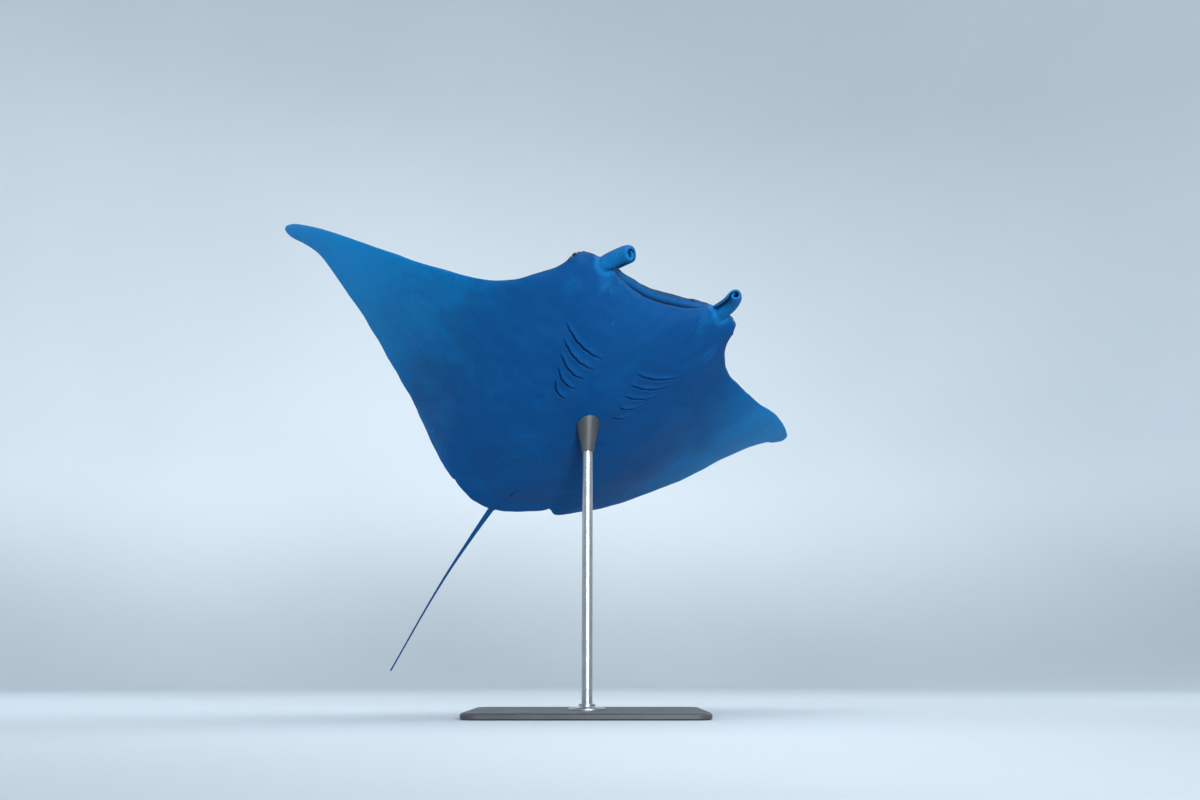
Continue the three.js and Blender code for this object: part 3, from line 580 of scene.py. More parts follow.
def joined(base, others):
    """The pieces as one mesh, with what lies inside it gone."""
    group = bpy.data.collections.new("joined")
    bpy.context.scene.collection.children.link(group)
    for piece in others:
        bpy.context.scene.collection.objects.unlink(piece)
        group.objects.link(piece)
    union = base.modifiers.new("Union", "BOOLEAN")
    union.operation = "UNION"
    union.solver = "MANIFOLD"
    union.operand_type = "COLLECTION"
    union.collection = group
    graph = bpy.context.evaluated_depsgraph_get()
    mesh = bpy.data.meshes.new_from_object(base.evaluated_get(graph))
    for piece in [base, *others]:
        bpy.data.objects.remove(piece, do_unlink=True)
    bpy.data.collections.remove(group)
    return mesh


def read(collection, field, width=1, dtype=np.float32):
    values = np.empty(len(collection) * width, dtype)
    collection.foreach_get(field, values)
    return values.reshape(-1, width) if width > 1 else values


def write(collection, field, values, dtype=np.float32):
    collection.foreach_set(field, np.asarray(values, dtype).ravel())


def relaxed(points, edges, weight, rounds):
    """Points drawn towards the middle of their neighbours, as far as their weight says."""
    moving = weight > 0.001
    near = edges[moving[edges].any(axis=1)]
    points = points.astype(float)
    count = np.bincount(near.ravel(), minlength=len(points)).astype(float)
    a, b = near[:, 0], near[:, 1]
    for _ in range(rounds):
        total = np.empty_like(points)
        for axis in range(3):
            total[:, axis] = np.bincount(a, points[b, axis], len(points))
            total[:, axis] += np.bincount(b, points[a, axis], len(points))
        mean = total[moving] / count[moving, None]
        points[moving] += (mean - points[moving]) * weight[moving, None]
    return points


def vertex_kind_masks(mesh):
    """For each kind of piece, which vertices its faces use."""
    kinds = read(mesh.attributes["kind"].data, "value", dtype=np.int32)
    sizes = read(mesh.polygons, "loop_total", dtype=np.int32)
    corners = read(mesh.loops, "vertex_index", dtype=np.int32)
    masks = np.zeros((DORSAL + 1, len(mesh.vertices)), bool)
    masks[np.repeat(kinds, sizes), corners] = True
    return masks


def distance_to(points, targets, reach):
    """Distance from each point to the nearest target, capped at reach."""
    result = np.full(len(points), reach, float)
    low, high = targets.min(axis=0) - reach, targets.max(axis=0) + reach
    near = np.nonzero(((points > low) & (points < high)).all(axis=1))[0]
    tree = KDTree(len(targets))
    for i, target in enumerate(targets):
        tree.insert(target, i)
    tree.balance()
    for i in near:
        result[i] = min(reach, tree.find(points[i])[2])
    return result


pieces = [
    tail_piece(), dorsal_piece(),
    *(pelvic_piece(f"pelvic_{name}", side) for name, side in SIDES.items()),
    *(cephalic_piece(f"cephalic_{name}", side) for name, side in SIDES.items()),
]
mesh = joined(disc_piece(), pieces)


# ---- Shape detail, along the normals of the flat skin ----

def normals(mesh):
    return read(mesh.vertex_normals, "vector", 3)


def ripples(p, wavelength, seed, count=20):
    """Smooth unevenness of about unit height, from plane waves in seeded directions."""
    waves = np.random.default_rng(seed)
    direction = waves.normal(size=(count, 3))
    direction /= np.linalg.norm(direction, axis=1, keepdims=True)
    length = wavelength * waves.uniform(0.7, 1.5, count)
    phase = waves.uniform(0, 2 * np.pi, count)
    total = np.zeros(len(p))
    for d, size, start in zip(direction, length, phase):
        total += np.sin(p @ d * (2 * np.pi / size) + start)
    return total / math.sqrt(count / 2)


def on_disc(masks):
    return masks[BACK] | masks[BELLY] | masks[MOUTH]


def lip_distances(flat):
    """Distances to the upper and the lower lip, and how open the mouth is at each place."""
    y = np.abs(flat[:, 1])
    front, _ = chord(y)
    opening = mouth_opening(y)
    gape = MOUTH_GAPE / 2 * opening
    upper = np.hypot(flat[:, 0] - front, flat[:, 2] - gape)
    lower = np.hypot(flat[:, 0] - front - JAW_SETBACK * opening, flat[:, 2] + gape)
    return upper, lower, opening


FLAP_RISE, FLAP_AT, FLAP_SPREAD = 5.5, -11, 11
RIM_RISE, RIM_AT, RIM_SPREAD = 1.5, 12, 9
SLIT_DEPTH, SLIT_SPREAD, SLIT_SHADE_SPREAD = 15, 3.4, 4.2


def gill_profile(s, y):
    """The gills' flaps and slits: how far the belly rises, and the painted shade in the slits."""
    rise, hollow_shade = np.zeros_like(s), np.zeros_like(s)
    for number in range(GILL_COUNT):
        y0, s0 = GILL_INNER[0] + GILL_NARROWING * number, GILL_INNER[1] + GILL_PITCH * number
        y1, s1 = GILL_OUTER[0] - GILL_SHORTENING * number, GILL_OUTER[1] + GILL_PITCH * number
        t = np.clip((y - y0) / (y1 - y0), 0, 1)
        line = mix(s0, s1, t) + GILL_BOW * 4 * t * (1 - t)
        w = s - line + 1.2 * np.sin(y / 8 + 1.7 * number) + 0.8 * np.sin(y / 3.1 + number)
        strength = np.sqrt(np.sin(np.pi * t))
        rise += strength * FLAP_RISE * bell((w - FLAP_AT) / FLAP_SPREAD)
        rise += strength * RIM_RISE * bell((w - RIM_AT) / RIM_SPREAD)
        rise -= strength * SLIT_DEPTH * bell(w / SLIT_SPREAD)
        hollow_shade = np.maximum(hollow_shade, strength * bell(w / SLIT_SHADE_SPREAD))
    return rise, hollow_shade


# How far each feature rises or sinks, how wide it is, and where it lies.
LID_RISE, LID_AT, LID_SPREAD = 3.4, EYE_RADIUS + 3.5, 3.0
BROW_RISE, BROW_AT, BROW_SPREAD = 3.5, 40.0, 8.0
CREASE_DEPTH, CREASE_AT, CREASE_SPREAD, CREASE_SHADE = 2.8, 34.0, 2.2, 0.55
LIP_RISE, UPPER_LIP_SPREAD, LOWER_LIP_SPREAD = 4.5, 12, 13
SPIRACLE_AT, SPIRACLE_DEPTH, SPIRACLE_RIM = (122.0, 384.0), 9.0, 3.0
NOSTRIL_Y, NOSTRIL_Z, NOSTRIL_DEPTH, NOSTRIL_FLAP = 198.0, 34.0, 8.5, 3.4
CLOACA_AT, CLOACA_DEPTH, CLOACA_RISE = 1318.0, 7, 2.5
SHOULDER_RISE, SPINE_RISE, FURROW_DEPTH = 5, 3, 3.5
SWELL, SWELL_LENGTH, RIPPLE, RIPPLE_LENGTH = 1.8, 210, 0.6, 62


def oval(along, across):
    return bell(np.hypot(along, across))


def shape_detail(flat, normal, masks):
    """How far to move the skin along its normals, how much painted shade it gets in its slits,
    creases and other sunken places, how much painted shade it gets deep in the mouth, and how near
    to the lips."""
    s, y, z = flat[:, 0], np.abs(flat[:, 1]), flat[:, 2]
    disc = on_disc(masks)
    outside = disc & ~masks[MOUTH]
    under = smoothstep(-normal[:, 2], 0.1, 0.5)
    above = smoothstep(normal[:, 2], 0.0, 0.4)
    gills, slits = gill_profile(s, y)

    away = np.linalg.norm(np.stack([s, y, z], axis=1) - EYE_AT, axis=1)
    over = z - EYE_AT[2]
    lid = bell((away - LID_AT) / LID_SPREAD)
    brow = bell((away - BROW_AT) / BROW_SPREAD) * smoothstep(over, -4, 22)
    crease = bell((away - CREASE_AT) / CREASE_SPREAD) * smoothstep(over, -12, 10)

    upper, lower, opening = lip_distances(flat)
    lips = bell(upper / UPPER_LIP_SPREAD) + bell(lower / LOWER_LIP_SPREAD)
    lips *= np.sqrt(opening) * disc
    # Painted shade inside the mouth, deeper away from the lips.
    mouth_shade = masks[MOUTH] * smoothstep(np.minimum(upper, lower), 6, 40)

    along, across = s - SPIRACLE_AT[0], y - SPIRACLE_AT[1]
    spiracle = oval(along / 5, across / 15)
    spiracle_rim = oval((along - 8) / 6, across / 17)
    across, up = y - NOSTRIL_Y, z - NOSTRIL_Z
    at_snout = s < chord(y)[0] + 40
    nostril = oval(across / 13, up / 6.5) * at_snout
    flap = oval((across + 4) / 16, (up - 10) / 5) * at_snout
    along = s - CLOACA_AT
    vent = oval(along / 26, y / 5) * under
    mound = oval(along / 38, y / 16) * under

    # Muscle over the shoulders and along the spine, and the shallow furrow of the belly.
    shoulder = oval((s - 420) / 260, (y - 190) / 90)
    spine = bell(y / 30) * smoothstep(s, 300, 700)
    furrow = bell(y / 26) * smoothstep(s, 260, 420) * (1 - smoothstep(s, 900, 1150))
    uneven = SWELL * ripples(flat, SWELL_LENGTH, 11) + RIPPLE * ripples(flat, RIPPLE_LENGTH, 12)

    move = outside * (
        LID_RISE * lid + BROW_RISE * brow - CREASE_DEPTH * crease
        + NOSTRIL_FLAP * flap - NOSTRIL_DEPTH * nostril
        + under * (gills - FURROW_DEPTH * furrow)
        + above * (SPIRACLE_RIM * spiracle_rim - SPIRACLE_DEPTH * spiracle)
        + above * (SHOULDER_RISE * shoulder + SPINE_RISE * spine)
        + uneven * (1 - 0.85 * smoothstep(y, 300, 1500))
    )
    move += disc * (LIP_RISE * lips + CLOACA_RISE * mound - CLOACA_DEPTH * vent)
    # Painted shade: the gill slits, the crease round each eye, the spiracles, the nostrils and the
    # vent are darkened as though shaded.
    hollow_shade = outside * np.maximum.reduce([
        slits * under, CREASE_SHADE * crease, spiracle * above, nostril,
    ])
    return move, np.maximum(hollow_shade, 0.8 * vent * disc), mouth_shade, lips


def edge_wave(flat, masks):
    """Slow waves in the thin rear edges of the wings and pelvic fins, and where each place lies
    along its chord."""
    y = np.abs(flat[:, 1])
    front, rear = chord(y)
    u = np.clip((flat[:, 0] - front) / np.maximum(rear - front, 1), 0, 1)
    grow = smoothstep(u, 0.72, 1.0) * smoothstep(y, 350, 800)
    wave = 1.6 * np.sin(flat[:, 1] / 61.0 + 0.8) + 0.7 * np.sin(flat[:, 1] / 23.0)
    lift = wave * grow * (masks[BACK] | masks[BELLY])
    fins = masks[PELVIC] & ~(masks[BACK] | masks[BELLY])
    ruffle = 1.4 * np.sin(flat[:, 1] / 14.0 + flat[:, 0] / 31.0)
    return lift + ruffle * smoothstep(flat[:, 0], 1380, 1450) * fins, u


JOIN_ROUNDS, LIP_ROUNDS = 36, 24
JOIN_REACH = {TAIL: 26.0, HORN_LEFT: 30.0, HORN_RIGHT: 30.0, PELVIC: 14.0, DORSAL: 16.0}


def soften_joins(flat, edges, masks):
    """Rounds the creases where one piece of the body meets the next."""
    disc = on_disc(masks)
    weight = np.zeros(len(flat))
    for kind, reach in JOIN_REACH.items():
        meets = masks[kind] & (disc if kind == TAIL else disc | masks[TAIL])
        share = 1 - distance_to(flat, flat[meets], reach) / reach
        weight = np.maximum(weight, 0.85 * share**1.3)
    return relaxed(flat, edges, weight, JOIN_ROUNDS)


def soften_lips(flat, edges, masks):
    """Rounds the mouth's rims."""
    upper, lower, _ = lip_distances(flat)
    weight = 0.8 * bell(np.minimum(upper, lower) / 10) * on_disc(masks)
    weight *= np.abs(flat[:, 1]) < MOUTH_HALF_WIDTH + 20
    return relaxed(flat, edges, weight, LIP_ROUNDS)


def put(mesh, points):
    write(mesh.vertices, "co", points)
    mesh.update()


def note(mesh, name, *columns):
    """Stores three values a vertex for the material to read."""
    data = mesh.attributes.new(name, "FLOAT_VECTOR", "POINT").data
    write(data, "vector", np.stack(columns, axis=1))


masks = vertex_kind_masks(mesh)
edges = read(mesh.edges, "vertices", 2, np.int32)
flat = read(mesh.vertices, "co", 3).astype(float)
flat = soften_joins(flat, edges, masks)
flat = soften_lips(flat, edges, masks)
put(mesh, flat)
normal = normals(mesh)
move, hollow_shade, mouth_shade, lips = shape_detail(flat, normal, masks)
lift, chord_place = edge_wave(flat, masks)
shaped = flat + normal * move[:, None]
shaped[:, 2] += lift
put(mesh, shaped)
normal = normals(mesh)

HORN_FADE, HORN_THINNED = 30.0, 7
horn = masks[HORN_LEFT] | masks[HORN_RIGHT]
horn_share = 1 - distance_to(flat, flat[horn][::HORN_THINNED], HORN_FADE) / HORN_FADE
note(mesh, "flat", *(shaped * MM).T)
# Whether each place faces the back, then painted shade for its sunken places and for deep in the
# mouth.
note(mesh, "dorsal_and_painted_shade", smoothstep(normal[:, 2], -0.3, 0.3), hollow_shade, mouth_shade)
note(mesh, "parts", smoothstep(horn_share, 0, 0.9), lips, chord_place)
put(mesh, to_world(pose(shaped)))
mesh.flip_normals()  # pose() mirrors the flat layout, so every face has turned inside out.
mesh.shade_smooth()
for name in ("kind", ".select_vert", ".select_edge", ".select_poly"):
    if name in mesh.attributes:
        mesh.attributes.remove(mesh.attributes[name])
skin = placed("skin", mesh)


# ---- Finishes ----

def colour(*screen):
    """A linear colour from a screen's 0 to 255 values."""
    shares = [value / 255 for value in screen]
    return (*(v / 12.92 if v <= 0.04045 else ((v + 0.055) / 1.055) ** 2.4 for v in shares), 1.0)


class Finish:
    """A material whose node tree is written as expressions."""

    def __init__(self, name):
        self.material = bpy.data.materials.new(name)
        self.material.use_nodes = True
        self.tree = self.material.node_tree
        self.shader = self.tree.nodes["Principled BSDF"]

    def feed(self, socket, value):
        if isinstance(value, bpy.types.NodeSocket):
            self.tree.links.new(value, socket)
        else:
            socket.default_value = value

    def fed(self, node, **sockets):
        """The node with its sockets fed, their names written with underscores."""
        for name, value in sockets.items():
            self.feed(node.inputs[name.replace("_", " ")], value)
        return node

    def set(self, **sockets):
        self.fed(self.shader, **sockets)

    def node(self, kind, *values, **settings):
        """A new node, its first sockets fed in order."""
        made = self.tree.nodes.new("ShaderNode" + kind)
        for name, value in settings.items():
            setattr(made, name, value)
        for socket, value in zip(made.inputs, values):
            self.feed(socket, value)
        return made

    def math(self, operation, *values):
        return self.node("Math", *values, operation=operation).outputs[0]

    def times(self, *values):
        return reduce(lambda a, b: self.math("MULTIPLY", a, b), values)

    def plus(self, *values):
        return reduce(lambda a, b: self.math("ADD", a, b), values)

    def fade(self, value, low, high, start=0.0, end=1.0):
        """start below low, end above high, and smooth between."""
        values = value, low, high, start, end
        return self.node("MapRange", *values, interpolation_type="SMOOTHSTEP").outputs[0]

    def hump(self, value, middle, half_width):
        """1 at the middle, 0 half a width away and beyond."""
        off = self.math("ABSOLUTE", self.math("SUBTRACT", value, middle))
        return self.fade(off, 0.0, half_width, 1.0, 0.0)

    def stretched(self, vector, scale):
        return self.node("VectorMath", vector, scale, operation="MULTIPLY").outputs[0]

    def noise(self, vector, scale, detail=4.0, rough=0.5, warp=0.0):
        return self.fed(
            self.node("TexNoise"), Vector=vector, Scale=scale, Detail=detail, Roughness=rough,
            Distortion=warp,
        ).outputs["Fac"]

    def cells(self, vector, scale):
        made = self.node("TexVoronoi", feature="F1")
        return self.fed(made, Vector=vector, Scale=scale).outputs["Distance"]

    def blend(self, share, first, second):
        made = self.node("Mix", data_type="RGBA", blend_type="MIX")
        for index, value in ((0, share), (6, first), (7, second)):
            self.feed(made.inputs[index], value)
        return made.outputs[2]

    def noted(self, name):
        """The stored attribute as a vector, and its three parts."""
        vector = self.node("Attribute", attribute_name=name).outputs["Vector"]
        return vector, *self.node("SeparateXYZ", vector).outputs

    def bump(self, height, distance, strength=1.0, under=None):
        made = self.fed(self.node("Bump"), Strength=strength, Distance=distance, Height=height)
        if under is not None:
            self.feed(made.inputs["Normal"], under)
        return made.outputs["Normal"]


BELLY_DEEP, BELLY_PALE = colour(2, 61, 112), colour(6, 122, 184)
BACK_DEEP, BACK_PALE = colour(5, 33, 64), colour(9, 50, 90)
PATCH = colour(34, 92, 134)
HORN_PALE = colour(12, 98, 156)
LIP_PALE = colour(24, 112, 168)
EDGE_PALE = colour(20, 100, 158)
DARK_GRAIN_AND_SHADE = colour(3, 18, 34)
SCAR = colour(60, 128, 176)


def skin_finish():
    """Deep blue hide: paler towards the tips and edges, with patches, scars and rays."""
    f = Finish("manta_skin")
    flat_vector, s, y, _ = f.noted("flat")
    _, back, hollow_shade, mouth_shade = f.noted("dorsal_and_painted_shade")
    _, horn, lips, chord_place = f.noted("parts")
    across = f.math("ABSOLUTE", y)

    cloud = f.noise(flat_vector, 3.2, 5.0, 0.55, 0.4)
    mottle = f.noise(flat_vector, 17.0, 6.0, 0.6, 0.6)
    grain = f.noise(flat_vector, 160.0, 4.0, 0.6)

    # The underside: darkest along the middle, paler towards the wing tips.
    outward = f.fade(across, 0.3, 1.5)
    pale = f.plus(
        outward,
        f.times(f.math("SUBTRACT", cloud, 0.5), 0.55),
        f.times(f.math("SUBTRACT", mottle, 0.5), 0.28),
    )
    belly = f.blend(f.fade(pale, -0.05, 1.05), BELLY_DEEP, BELLY_PALE)

    # The back: darker, with the smoky shoulder patches of the species.
    dark = f.blend(f.fade(f.plus(f.times(cloud, 0.7), f.times(mottle, 0.3)), 0.35, 0.68),
                   BACK_DEEP, BACK_PALE)
    wander = f.times(f.math("SUBTRACT", cloud, 0.5), 0.22)
    sweep = f.plus(s, f.times(across, -0.42), wander)
    patch = f.times(
        f.hump(sweep, 0.09, 0.17), f.fade(across, 0.13, 0.24), f.fade(across, 0.52, 0.78, 1.0, 0.0),
        f.fade(mottle, 0.3, 0.6, 0.45, 1.0),
    )
    dark = f.blend(f.times(patch, 0.75), dark, PATCH)
    base = f.blend(back, belly, dark)

    # Painted highlights: pale streaks at the corners of the mouth and behind the eyes, standing in
    # for light grazing the head.
    highlight_noise = f.noise(f.stretched(flat_vector, (1.0, 2.4, 1.0)), 14.0, 3.0, 0.5, 1.0)
    corner = f.times(f.hump(across, 0.262, 0.05), f.hump(s, 0.045, 0.1))
    behind = f.times(f.hump(across, 0.372, 0.04), f.hump(s, 0.165, 0.08))
    painted_highlight = f.times(
        f.plus(f.times(corner, 0.45), f.times(behind, 0.4)), f.fade(highlight_noise, 0.25, 0.75),
    )
    base = f.blend(painted_highlight, base, HORN_PALE)

    # Thin edges, lips and head fins catch the light of the water above.
    rear_edge = f.fade(chord_place, 0.93, 1.0)
    rim = f.times(rear_edge, f.fade(across, 0.2, 0.5), 0.35)
    base = f.blend(rim, base, EDGE_PALE)
    base = f.blend(f.times(lips, f.fade(mottle, 0.3, 0.7, 0.3, 0.8)), base, LIP_PALE)
    fin = f.times(horn, f.fade(mottle, 0.25, 0.75, 0.55, 0.95), f.fade(back, 0.0, 1.0, 1.0, 0.8))
    base = f.blend(fin, base, HORN_PALE)

    # Old scratches, long and thin, and pale flecks.
    tilted = f.stretched(flat_vector, (5.0, 38.0, 5.0))
    scratch = f.fade(f.noise(tilted, 1.7, 2.0, 0.4, 2.2), 0.735, 0.765)
    scratch = f.times(scratch, f.fade(cloud, 0.45, 0.6), 0.42)
    base = f.blend(scratch, base, SCAR)
    fleck = f.fade(f.cells(flat_vector, 21.0), 0.04, 0.075, 1.0, 0.0)
    base = f.blend(f.times(fleck, f.fade(mottle, 0.52, 0.66), 0.4), base, SCAR)

    base = f.blend(f.times(f.fade(grain, 0.35, 0.7), 0.16), base, DARK_GRAIN_AND_SHADE)
    # Painted shade: slits, creases, spiracles, nostrils, the vent and the inside of the mouth are
    # darkened as though shaded.
    base = f.blend(f.math("MAXIMUM", hollow_shade, mouth_shade), base, DARK_GRAIN_AND_SHADE)

    rays = f.math("SINE", f.plus(f.times(y, 520.0), f.times(mottle, 9.0), f.times(s, 60.0)))
    rays = f.times(rays, f.fade(across, 0.45, 0.9), f.fade(chord_place, 0.35, 0.8))
    folds = f.noise(f.stretched(flat_vector, (1.0, 3.0, 1.0)), 34.0, 5.0, 0.6, 0.8)
    coarse = f.bump(f.plus(f.times(folds, 0.8), f.times(rays, 0.12)), 0.0035, 0.55)
    hide = f.plus(f.cells(flat_vector, 420.0), f.times(grain, 0.6))
    f.set(
        Base_Color=base,
        Roughness=f.fade(f.plus(f.times(mottle, 0.6), f.times(grain, 0.4)), 0.3, 0.7, 0.5, 0.68),
        Normal=f.bump(hide, 0.0007, 0.5, coarse),
        Specular_IOR_Level=0.08,
    )
    return f.material


def eye_finish():
    """A dark eye: a wide black pupil in a slate iris with fine rays."""
    f = Finish("manta_eye")
    gaze, forward, up, out = f.noted("gaze")
    angle = f.math("ARCTAN2", up, forward)
    radius = f.math("SQRT", f.plus(f.times(forward, forward), f.times(up, up)))
    round_pupil = f.math("SQRT", f.plus(
        f.times(forward, forward, 3.6), f.times(up, up, 8.5),
    ))
    speckle = f.noise(gaze, 9.0, 5.0, 0.65, 0.5)
    rays = f.math("SINE", f.plus(f.times(angle, 64.0), f.times(speckle, 14.0)))
    iris_light = f.plus(f.times(rays, 0.08), f.times(speckle, 0.85))
    iris = f.blend(f.fade(iris_light, 0.2, 0.72), colour(8, 18, 28), colour(42, 60, 76))
    white = f.blend(f.fade(speckle, 0.35, 0.7), colour(10, 24, 38), colour(24, 46, 66))
    in_front = f.fade(out, -0.1, 0.1)
    ring = f.times(f.fade(radius, 0.70, 0.76, 1.0, 0.0), in_front)
    base = f.blend(ring, white, iris)
    limbus = f.times(f.hump(radius, 0.735, 0.06), in_front)
    base = f.blend(limbus, base, colour(4, 10, 16))
    pupil = f.times(f.fade(round_pupil, 0.92, 1.02, 1.0, 0.0), in_front)
    base = f.blend(pupil, base, colour(2, 4, 7))
    f.set(
        Base_Color=base,
        Roughness=f.fade(speckle, 0.3, 0.7, 0.12, 0.2),
        Normal=f.bump(speckle, 0.0002, 0.2),
        Specular_IOR_Level=0.2,
        Coat_Weight=0.25,
        Coat_Roughness=0.05,
    )
    return f.material


def paint_finish():
    """Dark satin powder coat, with a fine texture and a little dust."""
    f = Finish("stand_powder_coat")
    where = f.node("TexCoord").outputs["Object"]
    cloud = f.noise(where, 5.0, 5.0, 0.6)
    pebble = f.noise(where, 520.0, 2.0, 0.5)
    base = f.blend(f.fade(cloud, 0.3, 0.7), colour(44, 47, 51), colour(58, 61, 65))
    base = f.blend(f.times(f.fade(pebble, 0.55, 0.75), 0.3), base, colour(84, 88, 92))
    f.set(
        Base_Color=base,
        Roughness=f.fade(f.plus(f.times(cloud, 0.6), f.times(pebble, 0.4)), 0.3, 0.7, 0.42, 0.58),
        Normal=f.bump(pebble, 0.0005, 0.35),
    )
    return f.material


def steel_finish():
    """Brushed stainless steel, the brushing running round the tube."""
    f = Finish("stand_brushed_steel")
    where = f.node("TexCoord").outputs["Object"]
    brushing = f.noise(f.stretched(where, (3.0, 3.0, 900.0)), 1.0, 3.0, 0.6)
    cloud = f.noise(where, 12.0, 4.0, 0.5)
    base = f.blend(f.fade(brushing, 0.3, 0.7), colour(150, 153, 156), colour(196, 198, 200))
    base = f.blend(f.times(f.fade(cloud, 0.4, 0.7), 0.35), base, colour(132, 136, 140))
    f.set(
        Base_Color=base,
        Metallic=1.0,
        Roughness=f.fade(f.plus(f.times(brushing, 0.7), f.times(cloud, 0.3)), 0.3, 0.7, 0.24, 0.42),
        Normal=f.bump(brushing, 0.0002, 0.25),
    )
    return f.material


def studio_finish():
    """Matt pale paper."""
    f = Finish("studio_paper")
    where = f.node("TexCoord").outputs["Object"]
    cloud = f.noise(where, 0.35, 3.0, 0.5)
    height = f.node("SeparateXYZ", where).outputs[2]
    floor = f.blend(f.fade(cloud, 0.3, 0.7), colour(182, 190, 196), colour(187, 195, 201))
    wall = f.blend(f.fade(cloud, 0.3, 0.7), colour(232, 238, 242), colour(236, 241, 245))
    base = f.blend(f.fade(height, 0.0, 2.5), floor, wall)
    f.set(Base_Color=base, Roughness=f.fade(cloud, 0.3, 0.7, 0.86, 0.94))
    return f.material


def finished(obj, material):
    obj.data.materials.clear()
    obj.data.materials.append(material)


# ---- Eyes ----

EYE_FORWARD, EYE_UP = 0.5, 0.15
CORNEA_BULGE, CORNEA_SPREAD = 0.08, 0.55


def eye_piece(name, side):
    """An eyeball with a raised cornea, looking outwards, and a little forwards and up."""
    centre = np.array(EYE_AT) * (1, side, 1)
    probe = np.stack([
        centre, centre + (-EYE_FORWARD, side, EYE_UP), centre + (0.0, 0.0, 1.0),
    ])
    at, ahead, above = to_world(pose(probe))
    out = Vector(ahead - at).normalized()
    forward = Vector(above - at).cross(out).normalized()
    up = out.cross(forward).normalized()
    bm = bmesh.new()
    bmesh.ops.create_uvsphere(bm, u_segments=96, v_segments=64, radius=1.0)
    mesh = bpy.data.meshes.new(name)
    bm.to_mesh(mesh)
    bm.free()
    local = read(mesh.vertices, "co", 3)
    turned = np.arccos(np.clip(local[:, 2], -1, 1))
    swell = 1 + CORNEA_BULGE * bell(turned / CORNEA_SPREAD)
    basis = np.array([forward, up, out])
    note(mesh, "gaze", *local.T)
    put(mesh, at + (local * swell[:, None]) @ basis * EYE_RADIUS * MM)
    mesh.shade_smooth()
    return placed(name, mesh)


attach(skin, "root")
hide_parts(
    "head", "lower_jaw", "trunk", "wing_left", "wing_right", "cephalic_fin_left",
    "cephalic_fin_right", "pelvic_fin_left", "pelvic_fin_right", "dorsal_fin", "tail_1",
    "tail_2", "tail_3",
)
finished(skin, skin_finish())
eye_material = eye_finish()
for side_name, side in SIDES.items():
    eye = eye_piece("eyeball_" + side_name, side)
    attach(eye, "root")
    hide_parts("eye_" + side_name)
    finished(eye, eye_material)


# ---- Stand ----

def welding():
    """A node group that joins a stand part's facets, so that round stretches shade smoothly."""
    tree = bpy.data.node_groups.new("welded_facets", "GeometryNodeTree")
    for way in ("INPUT", "OUTPUT"):
        tree.interface.new_socket("Geometry", in_out=way, socket_type="NodeSocketGeometry")
    last = tree.nodes.new("NodeGroupInput").outputs[0]
    merge = tree.nodes.new("GeometryNodeMergeByDistance")
    merge.inputs["Distance"].default_value = 0.01 * MM
    bare = tree.nodes.new("GeometryNodeRemoveAttribute")
    bare.inputs["Name"].default_value = "custom_normal"
    chain = [merge, bare]
    for domain in ("FACE", "EDGE"):
        shade = tree.nodes.new("GeometryNodeSetShadeSmooth")
        shade.domain = domain
        shade.inputs["Shade Smooth"].default_value = True
        chain.append(shade)
    for node in chain:
        tree.links.new(last, node.inputs["Geometry"])
        last = node.outputs["Geometry"]
    tree.links.new(last, tree.nodes.new("NodeGroupOutput").inputs[0])
    return tree


def eased(node, group):
    """Rounds a stand part's sharp rims."""
    node.modifiers.new("welded_facets", "NODES").node_group = group
    rims = node.modifiers.new("eased_rims", "BEVEL")
    rims.width = 1.2 * MM
    rims.segments = 3
    rims.limit_method = "ANGLE"
    rims.angle_limit = math.radians(40)
    rims.harden_normals = True


paint, steel, welded = paint_finish(), steel_finish(), welding()
for name, material in (
    ("stand_base", paint), ("stand_saddle", paint), ("stand_rod", steel), ("stand_collar", steel),
):
    finished(nodes[name], material)
    eased(nodes[name], welded)


# ---- Studio ----

FLOOR_RADIUS, WALL_RADIUS, WALL_HEIGHT = 7.5, 10.5, 10.8


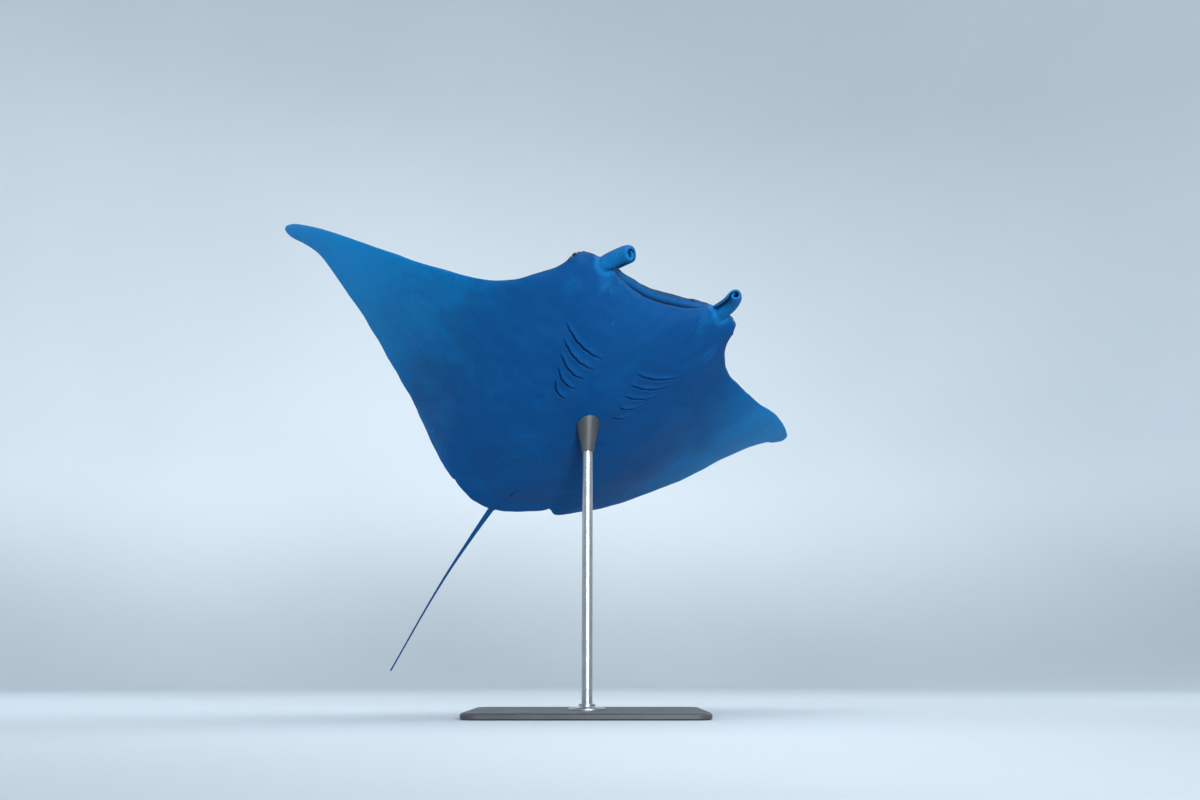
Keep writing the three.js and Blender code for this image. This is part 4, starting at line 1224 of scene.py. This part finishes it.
def studio_bowl():
    """A round pale floor that curves up into a wall on every side."""
    curve = WALL_RADIUS - FLOOR_RADIUS
    profile = [(0.02, 0.0), (2.5, 0.0), (5.0, 0.0), (FLOOR_RADIUS, 0.0)]
    steps = 16
    for i in range(1, steps + 1):
        turn = math.pi / 2 * i / steps
        profile.append((FLOOR_RADIUS + curve * math.sin(turn), curve * (1 - math.cos(turn))))
    profile.append((WALL_RADIUS, WALL_HEIGHT))
    sides = 128
    turns = [2 * math.pi * k / sides for k in range(sides)]
    points = [(r * math.cos(a), r * math.sin(a), h) for r, h in profile for a in turns]
    faces = [tuple(range(sides))]
    for row in range(len(profile) - 1):
        for k in range(sides):
            a, b = row * sides + k, row * sides + (k + 1) % sides
            faces.append((b, a, a + sides, b + sides))
    mesh = bpy.data.meshes.new("studio_bowl")
    mesh.from_pydata(points, [], faces)
    mesh.shade_smooth()
    bowl = placed("studio_bowl", mesh)
    finished(bowl, studio_finish())


MIDDLE = Vector((-0.1, 0.2, 1.4))


def soft_light(name, at, size, power, tint, spread=180):
    """A round lamp that looks at the middle of the model."""
    light = bpy.data.lights.new(name, "AREA")
    light.shape = "DISK"
    light.size = size
    light.energy = power
    light.spread = math.radians(spread)
    light.color = tint
    lamp = placed(name, light)
    lamp.location = at
    lamp.rotation_euler = (MIDDLE - Vector(at)).to_track_quat("-Z", "Y").to_euler()
    lamp.visible_camera = False


studio_bowl()
soft_light("overhead", (0.5, 0.5, 8.0), 6.0, 340, (0.93, 0.97, 1.0))
soft_light("front_fill", (1.5, -7.0, 1.9), 2.4, 92, (0.95, 0.98, 1.0), 60)
soft_light("left_edge", (-7.0, 2.5, 4.0), 3.0, 180, (0.85, 0.94, 1.0))
soft_light("right_edge", (6.5, 4.0, 4.5), 3.0, 180, (0.88, 0.95, 1.0))

world = bpy.data.worlds.new("studio_world")
world.use_nodes = True
world.node_tree.nodes["Background"].inputs["Color"].default_value = (0.86, 0.93, 1.0, 1.0)
world.node_tree.nodes["Background"].inputs["Strength"].default_value = 0.62
bpy.context.scene.world = world
bpy.context.scene.view_settings.view_transform = "Standard"

# The photo's viewpoint, looking up by 12 degrees.
lens = bpy.data.cameras.new("camera")
lens.lens = 37.5
lens.sensor_width = 36.0
lens.clip_end = 100.0
camera = placed("camera", lens)
camera.location = (0.0573, -5.6647, 0.2181)
camera.rotation_euler = (math.radians(102.0), 0.0, 0.0)
bpy.context.scene.camera = camera

bpy.context.view_layer.update()
